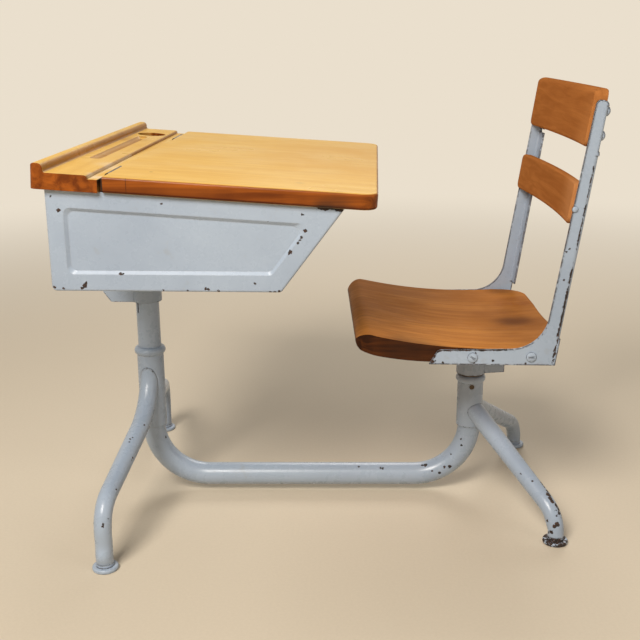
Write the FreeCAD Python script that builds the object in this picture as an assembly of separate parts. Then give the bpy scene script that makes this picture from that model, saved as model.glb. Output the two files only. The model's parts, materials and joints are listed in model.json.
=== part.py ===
import FreeCAD, Part
import math
import os

# A school desk and its swivel seat on one tubular base. Millimetres, +Z up, +X from the desk
# towards the seat, +Y across. The origin is on the floor under the middle of the whole desk.

V = FreeCAD.Vector
UP = V(0, 0, 1)
ACROSS = V(0, 1, 0)

# Whole desk
post_spacing = 543.0
desk_post_x = -316.4
base_turn = 2.3
seat_turn = 1.5
running_fit = 0.1
flat_gap = 0.3
overrun = 2.0
joint_tolerance = 0.001

# Stretcher tube
tube_diameter = 38.1
tube_wall = 2.5
stretcher_height = 29.0
stretcher_bend = 93.0

# Pedestals
desk_pedestal_diameter = 44.4
seat_pedestal_diameter = 43.5
desk_socket_top = 264.5
seat_socket_top = 214.5
desk_bead_diameter = 52.0
seat_bead_diameter = 50.0
bead_height = 13.0
bead_lip = 1.4
pedestal_lift = 1.0
spigot_length = 17.0
stop_ledge = 4.0
set_screw_diameter = 8.0
set_screw_drop = 18.0
set_screw_recess = 0.6
driver_slot_width = 1.4
driver_slot_depth = 1.2

# Legs and glides
leg_root_diameter = 32.0
leg_foot_diameter = 25.5
leg_wall = 2.5
leg_sections = 17
desk_leg_sweep = -6.6
desk_leg_root_reach = 6.0
desk_leg_root_height = 246.0
desk_leg_shoulder_height = 165.0
desk_leg_shoulder_bend = 100.0
desk_leg_knee_height = 98.0
desk_leg_knee_bend = 45.0
desk_leg_reach = 275.0
seat_leg_sweep = 31.1
seat_leg_root_height = 159.5
seat_leg_knee_height = 44.5
seat_leg_knee_bend = 50.0
seat_leg_reach = 222.0
glide_diameter = 39.0
glide_disc = 6.5
glide_neck = 5.5
glide_plug = 5.0
glide_plug_slack = 1.8
glide_edge = 2.5

# Desk column and its bracket
column_diameter = 38.1
column_wall = 2.5
column_foot = 200.0
key_slot_width = 4.0
key_slot_length = 17.0
key_slot_angle = 226.0
hub_diameter = 49.0
desk_hub_height = 86.0
desk_plate_thickness = 6.0
desk_plate_back = 58.0
desk_plate_front = 160.0
desk_plate_width = 170.0
desk_plate_corner = 18.0
desk_arm_width = 30.0
desk_arm_reach = 57.0
desk_arm_nose = 70.0
desk_arm_nose_height = 18.0
desk_arm_round = 5.0
desk_rib_width = 10.0
desk_rib_height = 58.0
desk_rib_toe = 14.0
column_pin_diameter = 8.0
column_pin_height = 48.0
box_bolt_diameter = 8.0
box_bolt_head_diameter = 18.0
box_bolt_head_height = 4.0
box_bolt_inset = 22.0
box_nut_flats = 13.0
box_nut_height = 6.5
box_bolt_end = 3.0

# Book box
top_overhang = 7.75
box_depth = 156.6
box_back = 58.3
box_front_low = 253.4
box_front_high = 338.8
box_sheet = 1.5
box_corner = 7.0
side_flange = 14.0
wrap_flange = 8.0
side_edge_round = 3.0
panel_margin = 23.5
panel_corner = 9.0
panel_depth = 3.5
panel_draft = 4.5

# Wooden top: pen strip and lid, drawn flat and then tilted about the middle of their gap
top_height = 592.6
top_slope = 3.7
top_width = 613.0
gap_from_post = 18.9
gap_width = 4.5
board_thickness = 22.2
strip_back = 93.0
strip_corner = 9.0
rail_width = 18.0
rail_height = 12.0
rail_round = 7.0
rail_cove = 4.0
ledge_width = 14.0
ledge_depth = 5.0
ledge_round = 4.0
strip_edge_round = 3.0
groove_from_gap = 51.0
groove_radius = 12.0
groove_depth = 4.0
groove_near = -135.0
groove_far = 165.0
inkwell_from_gap = 45.5
inkwell_offset = 216.0
inkwell_diameter = 49.0
lid_front = 364.0
lid_corner = 22.0
lid_edge_round = 4.0
strip_screw_diameter = 4.0
strip_screw_head_diameter = 8.0
strip_screw_head_height = 2.5
strip_screw_length = 14.0
strip_screw_back_offset = 150.0
strip_screw_from_gap = 24.0
strip_screw_spacing = 36.0

# Lid hinges
hinge_length = 76.0
hinge_inset = 41.0
hinge_leaf = 1.5
hinge_leaf_height = 16.0
hinge_mortise = 1.0
knuckle_diameter = 7.0
knuckle_count = 5
knuckle_relief = 0.4
hinge_pin_diameter = 3.2
hinge_screw_diameter = 3.2
hinge_screw_head_diameter = 6.0
hinge_screw_length = 12.0
hinge_screw_drop = 9.5
hinge_screw_spacing = 26.0

# Seat post and swivel, drawn with the post on the origin
post_diameter = 35.0
post_foot_clearance = 1.5
spindle_diameter = 22.0
washer_thickness = 2.0
washer_diameter = 44.0
bush_wall = 3.0
boss_diameter = 76.0
boss_depth = 24.0
hub_neck = 35.0
recess_diameter = 62.0
recess_depth = 17.0
collar_diameter = 34.0
collar_height = 10.0
dog_reach = 28.0
dog_width = 10.0
collar_pin_diameter = 5.0
buffer_diameter = 10.0
buffer_circle = 47.0
buffer_seat = 4.0
buffer_height = 12.0
swing_limit = 45.0

# Seat bracket
seat_floor = 294.5
spider_plate = 6.0
spider_arm_width = 40.0
spider_front = 120.0
spider_rear = 90.0
spider_half_width = 120.0
spider_arm_corner = 12.0
rear_arm_reach = 54.0
rear_arm_rise = 3.0
rear_arm_height = 26.0
rear_arm_width = 26.0
spider_rib_width = 9.0
spider_rib_height = 34.0
spider_rib_toe = 10.0
spider_screw_diameter = 5.0
spider_screw_head_diameter = 10.0
spider_screw_head_height = 3.0
spider_screw_length = 12.0
spider_screw_inset = 14.0

# Seat board
seat_width = 354.0
seat_front = 203.0
seat_rear = 113.0
seat_front_corner = 38.0
seat_rear_corner = 58.0
seat_crest = 42.5
seat_crest_setback = 24.0
seat_hollow = 20.0
seat_hollow_place = 10.0
seat_rear_height = 24.5
seat_nose_height = 30.0
seat_nose_under = 8.0
seat_nose_foot = 15.5
seat_rise_start = 70.0
brow_share = 0.5
bulge_share = 0.25
seat_dish = 4.5
seat_dish_place = 15.0
seat_dish_radius = 700.0

# Seat side brackets: an arm along the seat and an upright that leans back
side_sheet = 3.0
arm_front = 94.0
arm_front_slant = 13.0
arm_top = 314.4
arm_front_bottom = 292.0
arm_nose_round = 8.0
upright_foot_reach = 95.5
upright_foot_height = 288.0
upright_lean = 8.1
upright_depth = 23.5
upright_top_depth = 19.5
upright_fillet = 55.0
upright_length = 392.0
upright_top_round = 7.0
lower_flange_start = 42.0
lower_flange_end = 315.0
lower_flange_bend = 7.0
top_flange_setback = 1.2
top_flange_start = 321.0
top_flange_end = 385.0
top_flange_bend = 4.5
side_flange_width = 24.0
side_screw_diameter = 6.0
side_screw_head_diameter = 15.5
side_screw_head_height = 3.2
side_screw_length = 24.0
side_screw_height = 302.0
side_screw_front = -29.0
side_screw_rear = 59.0

# Back slats, drawn upright in the frame of the uprights
slat_end_gap = 1.0
slat_corner = 11.0
slat_edge_round = 4.0
top_slat_foot = 325.0
top_slat_height = 83.0
top_slat_thickness = 19.8
top_slat_bow = 9.0
top_slat_crest = 10.0
lower_slat_foot = 213.0
lower_slat_height = 61.0
lower_slat_thickness = 14.0
lower_slat_bow = 10.0
lower_slat_proud = 2.5
slat_bolt_diameter = 5.0
slat_bolt_head_diameter = 14.0
slat_bolt_head_height = 6.5
slat_bolt_bite = 11.0
slat_bolt_low = 18.0
slat_bolt_high = 52.5
slat_bolt_inset = 13.0
pivot_height = 23.0
pivot_diameter = 6.0
pivot_head_diameter = 9.0
pivot_head_height = 2.6
pivot_bite = 14.0

# Sizes that follow from the ones above
seat_post_x = desk_post_x + post_spacing
tube_radius = tube_diameter / 2
column_radius = column_diameter / 2
post_radius = post_diameter / 2
hub_radius = hub_diameter / 2
spindle_radius = spindle_diameter / 2
pedestal_foot = stretcher_height + stretcher_bend + pedestal_lift
spigot_top = pedestal_foot + spigot_length
socket_floor = spigot_top + stop_ledge
leg_foot = glide_disc + glide_neck
box_floor = top_height - box_depth
desk_plate_foot = box_floor - desk_plate_thickness
desk_hub_foot = desk_plate_foot - desk_hub_height
gap_x = desk_post_x + gap_from_post
half_gap = gap_width / 2
half_top = top_width / 2
half_box = half_top - top_overhang
half_seat = seat_width / 2
side_outer = half_seat + side_sheet
shoulder_top = seat_socket_top + flat_gap
washer_top = shoulder_top + washer_thickness
seat_hub_foot = washer_top + flat_gap
bush_radius = spindle_radius + bush_wall
recess_floor = seat_floor - recess_depth
top_slat_back = -top_flange_setback - side_sheet
lower_slat_front = -upright_depth - lower_slat_proud


def round_corner(before, corner, after, radius):
    """Start, middle and end of the arc that rounds one corner."""
    back = (before - corner).normalize()
    ahead = (after - corner).normalize()
    half = back.getAngle(ahead) / 2
    reach = radius / math.tan(half)
    centre = corner + (back + ahead).normalize() * (radius / math.sin(half))
    middle = centre + (corner - centre).normalize() * radius
    return corner + back * reach, middle, corner + ahead * reach


def outline(points, radii, closed=True):
    """Wire of straight runs, with each corner rounded to its own radius (0 leaves it sharp)."""
    corners = []
    for i, corner in enumerate(points):
        if radii[i] == 0:
            corners.append((corner, None, corner))
        else:
            following = points[(i + 1) % len(points)]
            corners.append(round_corner(points[i - 1], corner, following, radii[i]))
    edges = []
    for i, (start, middle, end) in enumerate(corners):
        if middle is not None:
            edges.append(Part.Arc(start, middle, end).toShape())
        if closed or i + 1 < len(corners):
            following = corners[(i + 1) % len(corners)][0]
            if (following - end).Length > joint_tolerance:
                edges.append(Part.LineSegment(end, following).toShape())
    return Part.Wire(edges)


def plate_xz(points, radii, y_from, y_to):
    """Plate with an outline of (x, z) corners, between two places across."""
    face = Part.Face(outline([V(x, y_from, z) for x, z in points], radii))
    return face.extrude(V(0, y_to - y_from, 0))


def plate_yz(points, radii, x_from, x_to):
    """Plate with an outline of (y, z) corners, between two places along."""
    face = Part.Face(outline([V(x_from, y, z) for y, z in points], radii))
    return face.extrude(V(x_to - x_from, 0, 0))


def plate_xy(points, radii, z_from, z_to):
    """Plate with an outline of (x, y) corners, between two heights."""
    face = Part.Face(outline([V(x, y, z_from) for x, y in points], radii))
    return face.extrude(V(0, 0, z_to - z_from))


def oblong(x_from, x_to, half_width):
    """Corners of a rectangle that is centred across."""
    return [(x_from, -half_width), (x_to, -half_width), (x_to, half_width), (x_from, half_width)]


def block(x_from, x_to, y_from, y_to, z_from, z_to):
    """Box between its lowest and highest corners."""
    return Part.makeBox(x_to - x_from, y_to - y_from, z_to - z_from, V(x_from, y_from, z_from))


def rod(radius, start, end):
    """Round bar between two points."""
    run = end - start
    return Part.makeCylinder(radius, run.Length, start, run)


def turned(points, x, y):
    """Solid of revolution of (radius, height) corners about the upright axis at x, y."""
    corners = [V(x + radius, y, z) for radius, z in points]
    return Part.Face(Part.makePolygon(corners + corners[:1])).revolve(V(x, y, 0), UP, 360)


def swept(path, radius):
    """Round bar along a wire of lines and tangent arcs."""
    first = path.Edges[0]
    heading = first.tangentAt(first.FirstParameter)
    circle = Part.Circle(first.valueAt(first.FirstParameter), heading, radius)
    return path.makePipeShell([Part.Wire(circle.toShape())], True, False)


def place_on(path, share):
    """Point and heading at a share of a wire's length."""
    left = path.Length * share
    for edge in path.Edges:
        if left <= edge.Length + joint_tolerance:
            parameter = edge.getParameterByLength(min(left, edge.Length))
            return edge.valueAt(parameter), edge.tangentAt(parameter)
        left -= edge.Length


def tapered(path, across, first_radius, last_radius):
    """Round bar along a flat wire whose radius changes evenly from end to end."""
    rings = []
    for i in range(leg_sections):
        share = i / (leg_sections - 1)
        place, heading = place_on(path, share)
        ring = Part.Wire(Part.makeCircle(first_radius + (last_radius - first_radius) * share))
        turn = FreeCAD.Rotation(across, heading.cross(across), heading, "ZXY")
        ring.Placement = FreeCAD.Placement(place, turn)
        rings.append(ring)
    return Part.makeLoft(rings, True)


def fused(first, *others):
    """One solid from several that meet, with the seams between coplanar faces removed."""
    return first.fuse(list(others)).removeSplitter()


def mirrored(shape):
    """The same piece on the other side."""
    return shape.mirror(V(0, 0, 0), ACROSS)


def on_top(shape):
    """Put a piece that was drawn flat, with the gap on the origin, on the tilted top."""
    shape = shape.copy()
    shape.rotate(V(0, 0, 0), ACROSS, top_slope)
    shape.translate(V(gap_x, 0, top_height))
    return shape


def on_lean(shape):
    """Put a piece that was drawn upright in the frame of the leaning uprights."""
    shape = shape.copy()
    shape.rotate(V(0, 0, 0), ACROSS, upright_lean)
    shape.translate(V(upright_foot_reach, 0, upright_foot_height))
    return shape


def lean_point(along, height):
    """(x, z) of a point that is given in the frame of the leaning uprights."""
    lean = math.radians(upright_lean)
    x = upright_foot_reach + along * math.cos(lean) + height * math.sin(lean)
    z = upright_foot_height - along * math.sin(lean) + height * math.cos(lean)
    return x, z


def on_base(shape):
    """Turn a piece of the base, which stands a little askew under the desk, about the desk post."""
    shape = shape.copy()
    shape.rotate(V(desk_post_x, 0, 0), UP, base_turn)
    return shape


def on_post(shape):
    """Put a piece that was drawn with the seat post on the origin at the post."""
    shape = shape.copy()
    shape.translate(V(seat_post_x, 0, 0))
    return on_base(shape)


def on_seat(shape):
    """Put a piece of the seat at its post, turned as the seat stands."""
    shape = shape.copy()
    shape.rotate(V(0, 0, 0), UP, seat_turn)
    return on_post(shape)


def save(name, shape):
    """Write one piece, or one group of like pieces, under its own name."""
    shape.exportStep(os.path.join("parts", name + ".step"))


def pedestal(x, radius, bead_radius, socket_top, bore_radius):
    """Socket tube with a rolled bead at its mouth and a ledge above the stretcher's spigot."""
    bead_foot = V(x + radius, 0, socket_top - bead_height)
    bead_belly = V(x + bead_radius, 0, socket_top - bead_height / 2)
    bead_crown = V(x + bore_radius + bead_lip, 0, socket_top)
    corners = [bead_crown]
    corners.append(V(x + bore_radius, 0, socket_top))
    corners.append(V(x + bore_radius, 0, socket_floor))
    corners.append(V(x + tube_radius - tube_wall, 0, socket_floor))
    corners.append(V(x + tube_radius - tube_wall, 0, spigot_top))
    corners.append(V(x + tube_radius, 0, spigot_top))
    corners.append(V(x + tube_radius, 0, pedestal_foot))
    corners.append(V(x + radius, 0, pedestal_foot))
    corners.append(bead_foot)
    edges = [Part.Arc(bead_foot, bead_belly, bead_crown).toShape()]
    for start, end in zip(corners, corners[1:]):
        edges.append(Part.LineSegment(start, end).toShape())
    return Part.Face(Part.Wire(edges)).revolve(V(x, 0, 0), UP, 360)


def set_screw(x, radius, bore_radius, height, side):
    """Headless screw through a pedestal's wall, with a driver slot, on the side given by its sign."""
    tip = V(x, side * (bore_radius + running_fit), height)
    head = V(x, side * (radius - set_screw_recess), height)
    screw = rod(set_screw_diameter / 2, tip, head)
    slot_floor = radius - set_screw_recess - driver_slot_depth
    slot = block(
        x - driver_slot_width / 2,
        x + driver_slot_width / 2,
        min(side * slot_floor, side * (radius + overrun)),
        max(side * slot_floor, side * (radius + overrun)),
        height - set_screw_diameter,
        height + set_screw_diameter,
    )
    return screw.cut(slot)


def screw_hole(x, radius, height, side):
    """Bar that cuts a set screw's hole through one wall of a pedestal."""
    return rod(set_screw_diameter / 2, V(x, 0, height), V(x, side * (radius + overrun), height))


def leg(post_x, side, sweep, points, radii, core):
    """Tapered tube along a bent path in an upright plane, coped against its pedestal."""
    angle = math.radians(sweep)
    heading = V(math.sin(angle), side * math.cos(angle), 0)
    post = V(post_x, 0, 0)
    path = outline([post + heading * reach + UP * height for reach, height in points], radii, False)
    across = heading.cross(UP)
    root = leg_root_diameter / 2
    foot = leg_foot_diameter / 2
    tube = tapered(path, across, root, foot).cut(tapered(path, across, root - leg_wall, foot - leg_wall))
    return tube.cut(core)


def glide(post_x, side, sweep, reach):
    """Floor glide: a disc with a rounded rim, a neck and a plug inside the leg."""
    angle = math.radians(sweep)
    x = post_x + reach * math.sin(angle)
    y = side * reach * math.cos(angle)
    disc = Part.makeCylinder(glide_diameter / 2, glide_disc, V(x, y, 0))
    disc = disc.makeFillet(glide_edge, disc.Edges)
    plug_radius = leg_foot_diameter / 2 - leg_wall - glide_plug_slack
    floor = Part.makeCylinder(glide_diameter / 2 - glide_edge, glide_edge, V(x, y, 0))
    stem = turned(
        [
            (0, 0),
            (leg_foot_diameter / 2, 0),
            (leg_foot_diameter / 2, leg_foot),
            (plug_radius, leg_foot),
            (plug_radius, leg_foot + glide_plug),
            (0, leg_foot + glide_plug),
        ],
        x,
        y,
    )
    return fused(disc, floor, stem)


def make_base():
    """Stretcher, pedestals, legs, glides and set screws."""
    path = outline(
        [
            V(desk_post_x, 0, spigot_top),
            V(desk_post_x, 0, stretcher_height),
            V(seat_post_x, 0, stretcher_height),
            V(seat_post_x, 0, spigot_top),
        ],
        [0, stretcher_bend, stretcher_bend, 0],
        False,
    )
    stretcher = swept(path, tube_radius).cut(swept(path, tube_radius - tube_wall))
    save("stretcher_tube", on_base(stretcher))

    desk_leg_points = [
        (desk_leg_root_reach, desk_leg_root_height),
        (desk_leg_root_reach, desk_leg_shoulder_height),
        (desk_leg_reach, desk_leg_knee_height),
        (desk_leg_reach, leg_foot),
    ]
    seat_leg_points = [
        (0, seat_leg_root_height),
        (seat_leg_reach, seat_leg_knee_height),
        (seat_leg_reach, leg_foot),
    ]
    desk_side = {
        "post_x": desk_post_x,
        "radius": desk_pedestal_diameter / 2,
        "bead": desk_bead_diameter / 2,
        "top": desk_socket_top,
        "bore": column_radius + running_fit,
        "screw_side": 1,
        "sweep": desk_leg_sweep,
        "points": desk_leg_points,
        "bends": [0, desk_leg_shoulder_bend, desk_leg_knee_bend, 0],
        "reach": desk_leg_reach,
    }
    seat_side = {
        "post_x": seat_post_x,
        "radius": seat_pedestal_diameter / 2,
        "bead": seat_bead_diameter / 2,
        "top": seat_socket_top,
        "bore": post_radius + running_fit,
        "screw_side": -1,
        "sweep": seat_leg_sweep,
        "points": seat_leg_points,
        "bends": [0, seat_leg_knee_bend, 0],
        "reach": seat_leg_reach,
    }
    for name, side in (("desk", desk_side), ("seat", seat_side)):
        x = side["post_x"]
        radius = side["radius"]
        screw_height = side["top"] - set_screw_drop
        tube = pedestal(x, radius, side["bead"], side["top"], side["bore"])
        tube = tube.cut(screw_hole(x, radius, screw_height, side["screw_side"]))
        screw = set_screw(x, radius, side["bore"], screw_height, side["screw_side"])
        save(name + "_pedestal", on_base(tube))
        save(name + "_set_screw", on_base(screw))
        core = rod(radius, V(x, 0, 0), V(x, 0, side["top"]))
        for place, sign in (("near", -1), ("far", 1)):
            tube = leg(x, sign, side["sweep"], side["points"], side["bends"], core)
            save(name + "_leg_" + place, on_base(tube))
            save(name + "_glide_" + place, on_base(glide(x, sign, side["sweep"], side["reach"])))


def box_bolt_places():
    """Where the bracket's plate is bolted to the floor of the box."""
    across = desk_plate_width / 2 - box_bolt_inset
    back = desk_post_x - desk_plate_back + box_bolt_inset
    front = desk_post_x + desk_plate_front - box_bolt_inset
    return [(back, -across), (back, across), (front, -across), (front, across)]


def make_column():
    """Desk column with its key slot, the bracket that carries the box, and their cross pin."""
    pin_height = desk_hub_foot + column_pin_height
    pin_near = V(desk_post_x, -hub_radius, pin_height)
    pin_far = V(desk_post_x, hub_radius, pin_height)
    pin = rod(column_pin_diameter / 2, pin_near, pin_far)
    axis_foot = V(desk_post_x, 0, column_foot)
    axis_top = V(desk_post_x, 0, desk_plate_foot)
    bore = rod(column_radius - column_wall, axis_foot, axis_top)
    column = rod(column_radius, axis_foot, axis_top).cut(bore)
    slot_foot = desk_hub_foot - key_slot_length
    half_slot = key_slot_width / 2
    slot = block(0, column_radius + overrun, -half_slot, half_slot, slot_foot, desk_hub_foot)
    slot_end = rod(half_slot, V(0, 0, slot_foot), V(column_radius + overrun, 0, slot_foot))
    slot = slot.fuse(slot_end)
    slot.rotate(V(0, 0, 0), UP, key_slot_angle)
    slot.translate(V(desk_post_x, 0, 0))
    save("desk_column", column.cut(slot).cut(pin))
    save("column_pin", pin)

    hub = rod(hub_radius, V(desk_post_x, 0, desk_hub_foot), axis_top)
    plate = plate_xy(
        oblong(desk_post_x - desk_plate_back, desk_post_x + desk_plate_front, desk_plate_width / 2),
        [desk_plate_corner] * 4,
        desk_plate_foot,
        box_floor,
    )
    arm = plate_xz(
        [
            (desk_post_x, desk_hub_foot),
            (desk_post_x - desk_arm_reach, desk_hub_foot),
            (desk_post_x - desk_arm_nose, desk_hub_foot + desk_arm_nose_height),
            (desk_post_x - desk_plate_back, desk_plate_foot),
            (desk_post_x, desk_plate_foot),
        ],
        [0, desk_arm_round, desk_arm_round, 0, 0],
        -desk_arm_width / 2,
        desk_arm_width / 2,
    )
    rib_foot = desk_plate_foot - desk_rib_height
    front_rib = plate_xz(
        [
            (desk_post_x, rib_foot),
            (desk_post_x + hub_radius, rib_foot),
            (desk_post_x + desk_plate_front - desk_rib_toe, desk_plate_foot),
            (desk_post_x, desk_plate_foot),
        ],
        [0, 0, 0, 0],
        -desk_rib_width / 2,
        desk_rib_width / 2,
    )
    side_ribs = plate_yz(
        [
            (-hub_radius, rib_foot),
            (hub_radius, rib_foot),
            (desk_plate_width / 2 - desk_rib_toe, desk_plate_foot),
            (desk_rib_toe - desk_plate_width / 2, desk_plate_foot),
        ],
        [0, 0, 0, 0],
        desk_post_x - desk_rib_width / 2,
        desk_post_x + desk_rib_width / 2,
    )
    bracket = fused(hub, plate, arm, front_rib, side_ribs)
    bracket = bracket.cut(rod(column_radius, V(desk_post_x, 0, desk_hub_foot - overrun), axis_top)).cut(pin)

    bolts = []
    nuts = []
    for x, y in box_bolt_places():
        inside = box_floor + 2 * box_sheet
        nut_foot = desk_plate_foot - box_nut_height
        shank = rod(box_bolt_diameter / 2, V(x, y, nut_foot - box_bolt_end), V(x, y, inside))
        head = Part.makeCylinder(box_bolt_head_diameter / 2, box_bolt_head_height, V(x, y, inside))
        head = head.makeFillet(box_bolt_head_height / 2, [head.Edges[0]])
        bolts.append(fused(shank, head))
        corner_radius = box_nut_flats / math.sqrt(3)
        corners = []
        for i in range(6):
            angle = math.radians(60 * i)
            heading = V(math.cos(angle), math.sin(angle), 0)
            corners.append(V(x, y, nut_foot) + heading * corner_radius)
        nut = Part.Face(Part.makePolygon(corners + corners[:1])).extrude(V(0, 0, box_nut_height))
        nuts.append(nut.cut(shank))
        bracket = bracket.cut(shank)
    save("desk_bracket", bracket)
    save("box_bolts", Part.makeCompound(bolts))
    save("box_nuts", Part.makeCompound(nuts))
    return bolts


def rim_point(x, drop):
    """Point of the plane under the wooden top, or a drop below it, at a place along."""
    slope = math.radians(top_slope)
    below = board_thickness + drop
    return x, top_height - below / math.cos(slope) - (x - gap_x) * math.tan(slope)


def box_outline(inset, drop):
    """(x, z) corners of the box's side, drawn in by an inset and cut off below the wooden top."""
    back = desk_post_x - box_back + inset
    floor = box_floor + inset
    low_x = desk_post_x + box_front_low
    high_x, high_z = rim_point(desk_post_x + box_front_high, 0)
    rise = high_z - box_floor
    run = high_x - low_x
    length = math.hypot(rise, run)
    shift = inset * length / rise
    front_low = low_x - shift + inset * run / rise
    slope = math.tan(math.radians(top_slope))
    start_x, start_z = rim_point(low_x - shift, drop)
    along = (start_z - box_floor) / (rise / run + slope)
    front_high = low_x - shift + along
    return [rim_point(back, drop), (back, floor), (front_low, floor), rim_point(front_high, drop)]


def strip_screws():
    """Round-head screws up through the rim of the box into the pen strip."""
    places = []
    for side in (-1, 1):
        edge = side * (half_box - side_flange / 2)
        places.append((-strip_screw_from_gap, edge))
        places.append((-strip_screw_from_gap - strip_screw_spacing, edge))
        back = desk_post_x - box_back - gap_x + 2 * box_sheet + wrap_flange / 2
        places.append((back, side * strip_screw_back_offset))
    screws = []
    for along, across in places:
        foot = V(along, across, -board_thickness - box_sheet)
        head = Part.makeCylinder(strip_screw_head_diameter / 2, strip_screw_head_height, foot, V(0, 0, -1))
        shank = rod(strip_screw_diameter / 2, foot, foot + UP * strip_screw_length)
        screws.append(on_top(fused(head, shank)))
    return screws


def make_box(bolts, screws):
    """Pressed side panels with a sunk field, and the sheet bent round back, floor and front."""
    outside = box_outline(0, 0)
    inside = box_outline(box_sheet, box_sheet)
    corner_radii = [0, box_corner, box_corner, 0]
    inner_radii = [0, box_corner - box_sheet, box_corner - box_sheet, 0]
    near_face = -half_box
    pan = plate_xz(outside, corner_radii, near_face, near_face + side_flange)
    rounded = [edge for edge in pan.Edges if abs(edge.BoundBox.YMax - near_face) < joint_tolerance]
    rim_top = max(edge.BoundBox.ZMax for edge in rounded)
    rounded = [
        edge
        for edge in rounded
        if edge.BoundBox.XLength < box_front_high or edge.BoundBox.ZMax < rim_top - overrun
    ]
    pan = pan.makeFillet(side_edge_round, rounded)
    pan = pan.cut(plate_xz(inside, inner_radii, near_face + box_sheet, near_face + side_flange + overrun))

    field_radii = [panel_corner] * 4
    field_outer = box_outline(panel_margin, panel_margin)
    field_inner = box_outline(panel_margin + panel_draft, panel_margin + panel_draft)
    back_outer = box_outline(panel_margin - box_sheet, panel_margin - box_sheet)
    back_inner = box_outline(panel_margin + panel_draft - box_sheet, panel_margin + panel_draft - box_sheet)

    def field(outer, inner, start, depth):
        first = outline([V(x, start, z) for x, z in outer], field_radii)
        last = outline([V(x, start + depth, z) for x, z in inner], field_radii)
        return Part.makeLoft([first, last], True, True)

    boss = field(back_outer, back_inner, near_face + box_sheet, panel_depth)
    hollow = field(field_outer, field_inner, near_face, panel_depth)
    side_near = fused(pan, boss).cut(hollow)
    side_far = mirrored(side_near)

    wrap_outer = box_outline(box_sheet, 0)
    wrap_inner = box_outline(2 * box_sheet, box_sheet)
    wrap_radii = [0, box_corner - 2 * box_sheet, box_corner - 2 * box_sheet, 0]
    half_wrap = half_box - box_sheet
    wrap = plate_xz(wrap_outer, inner_radii, -half_wrap, half_wrap)
    wrap = wrap.cut(plate_xz(wrap_inner, wrap_radii, -half_wrap - overrun, half_wrap + overrun))
    mouth_back = wrap_inner[0][0] + wrap_flange
    mouth_front = wrap_inner[3][0] - wrap_flange
    mouth = [
        rim_point(mouth_back, box_sheet + overrun),
        rim_point(mouth_front, box_sheet + overrun),
        rim_point(mouth_front, -overrun),
        rim_point(mouth_back, -overrun),
    ]
    wrap = wrap.cut(plate_xz(mouth, [0] * 4, -half_wrap - overrun, half_wrap + overrun))
    wrap = wrap.cut([side_near, side_far] + bolts + screws)
    save("box_wrap", wrap)
    save("box_side_near", side_near.cut(screws))
    save("box_side_far", side_far.cut(screws))


def hinge_knuckles(middle, first):
    """Barrels of one leaf of a hinge: every second share of the length, from the first given."""
    pitch = hinge_length / knuckle_count
    start = middle - hinge_length / 2
    barrels = []
    for i in range(first, knuckle_count, 2):
        foot = V(0, start + i * pitch + flat_gap / 2, -ledge_depth)
        barrels.append(rod(knuckle_diameter / 2, foot, foot + ACROSS * (pitch - flat_gap)))
    return barrels


def hinge_relief(middle, first):
    """Room round the barrels of the other leaf."""
    pitch = hinge_length / knuckle_count
    start = middle - hinge_length / 2
    rooms = []
    for i in range(first, knuckle_count, 2):
        foot = V(0, start + i * pitch - flat_gap / 2, -ledge_depth)
        rooms.append(rod(knuckle_diameter / 2 + knuckle_relief, foot, foot + ACROSS * (pitch + flat_gap)))
    return rooms


def hinge_plate(middle, side):
    """Flat of one leaf, let into the edge of its board on the side given by its sign."""
    inner = side * (half_gap + hinge_mortise - hinge_leaf)
    outer = side * (half_gap + hinge_mortise)
    return block(
        min(inner, outer),
        max(inner, outer),
        middle - hinge_length / 2,
        middle + hinge_length / 2,
        -ledge_depth - hinge_leaf_height,
        -ledge_depth,
    )


def hinge_screws(middle, side):
    """Countersunk screws through one leaf into the edge of its board."""
    screws = []
    for i in (-1, 0, 1):
        start = V(
            side * (half_gap + hinge_mortise - hinge_leaf),
            middle + i * hinge_screw_spacing,
            -ledge_depth - hinge_screw_drop,
        )
        into = V(side, 0, 0)
        head_radius = hinge_screw_head_diameter / 2
        shank_radius = hinge_screw_diameter / 2
        head = Part.makeCone(head_radius, shank_radius, hinge_leaf, start, into)
        screws.append(fused(head, rod(shank_radius, start, start + into * hinge_screw_length)))
    return screws


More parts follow.
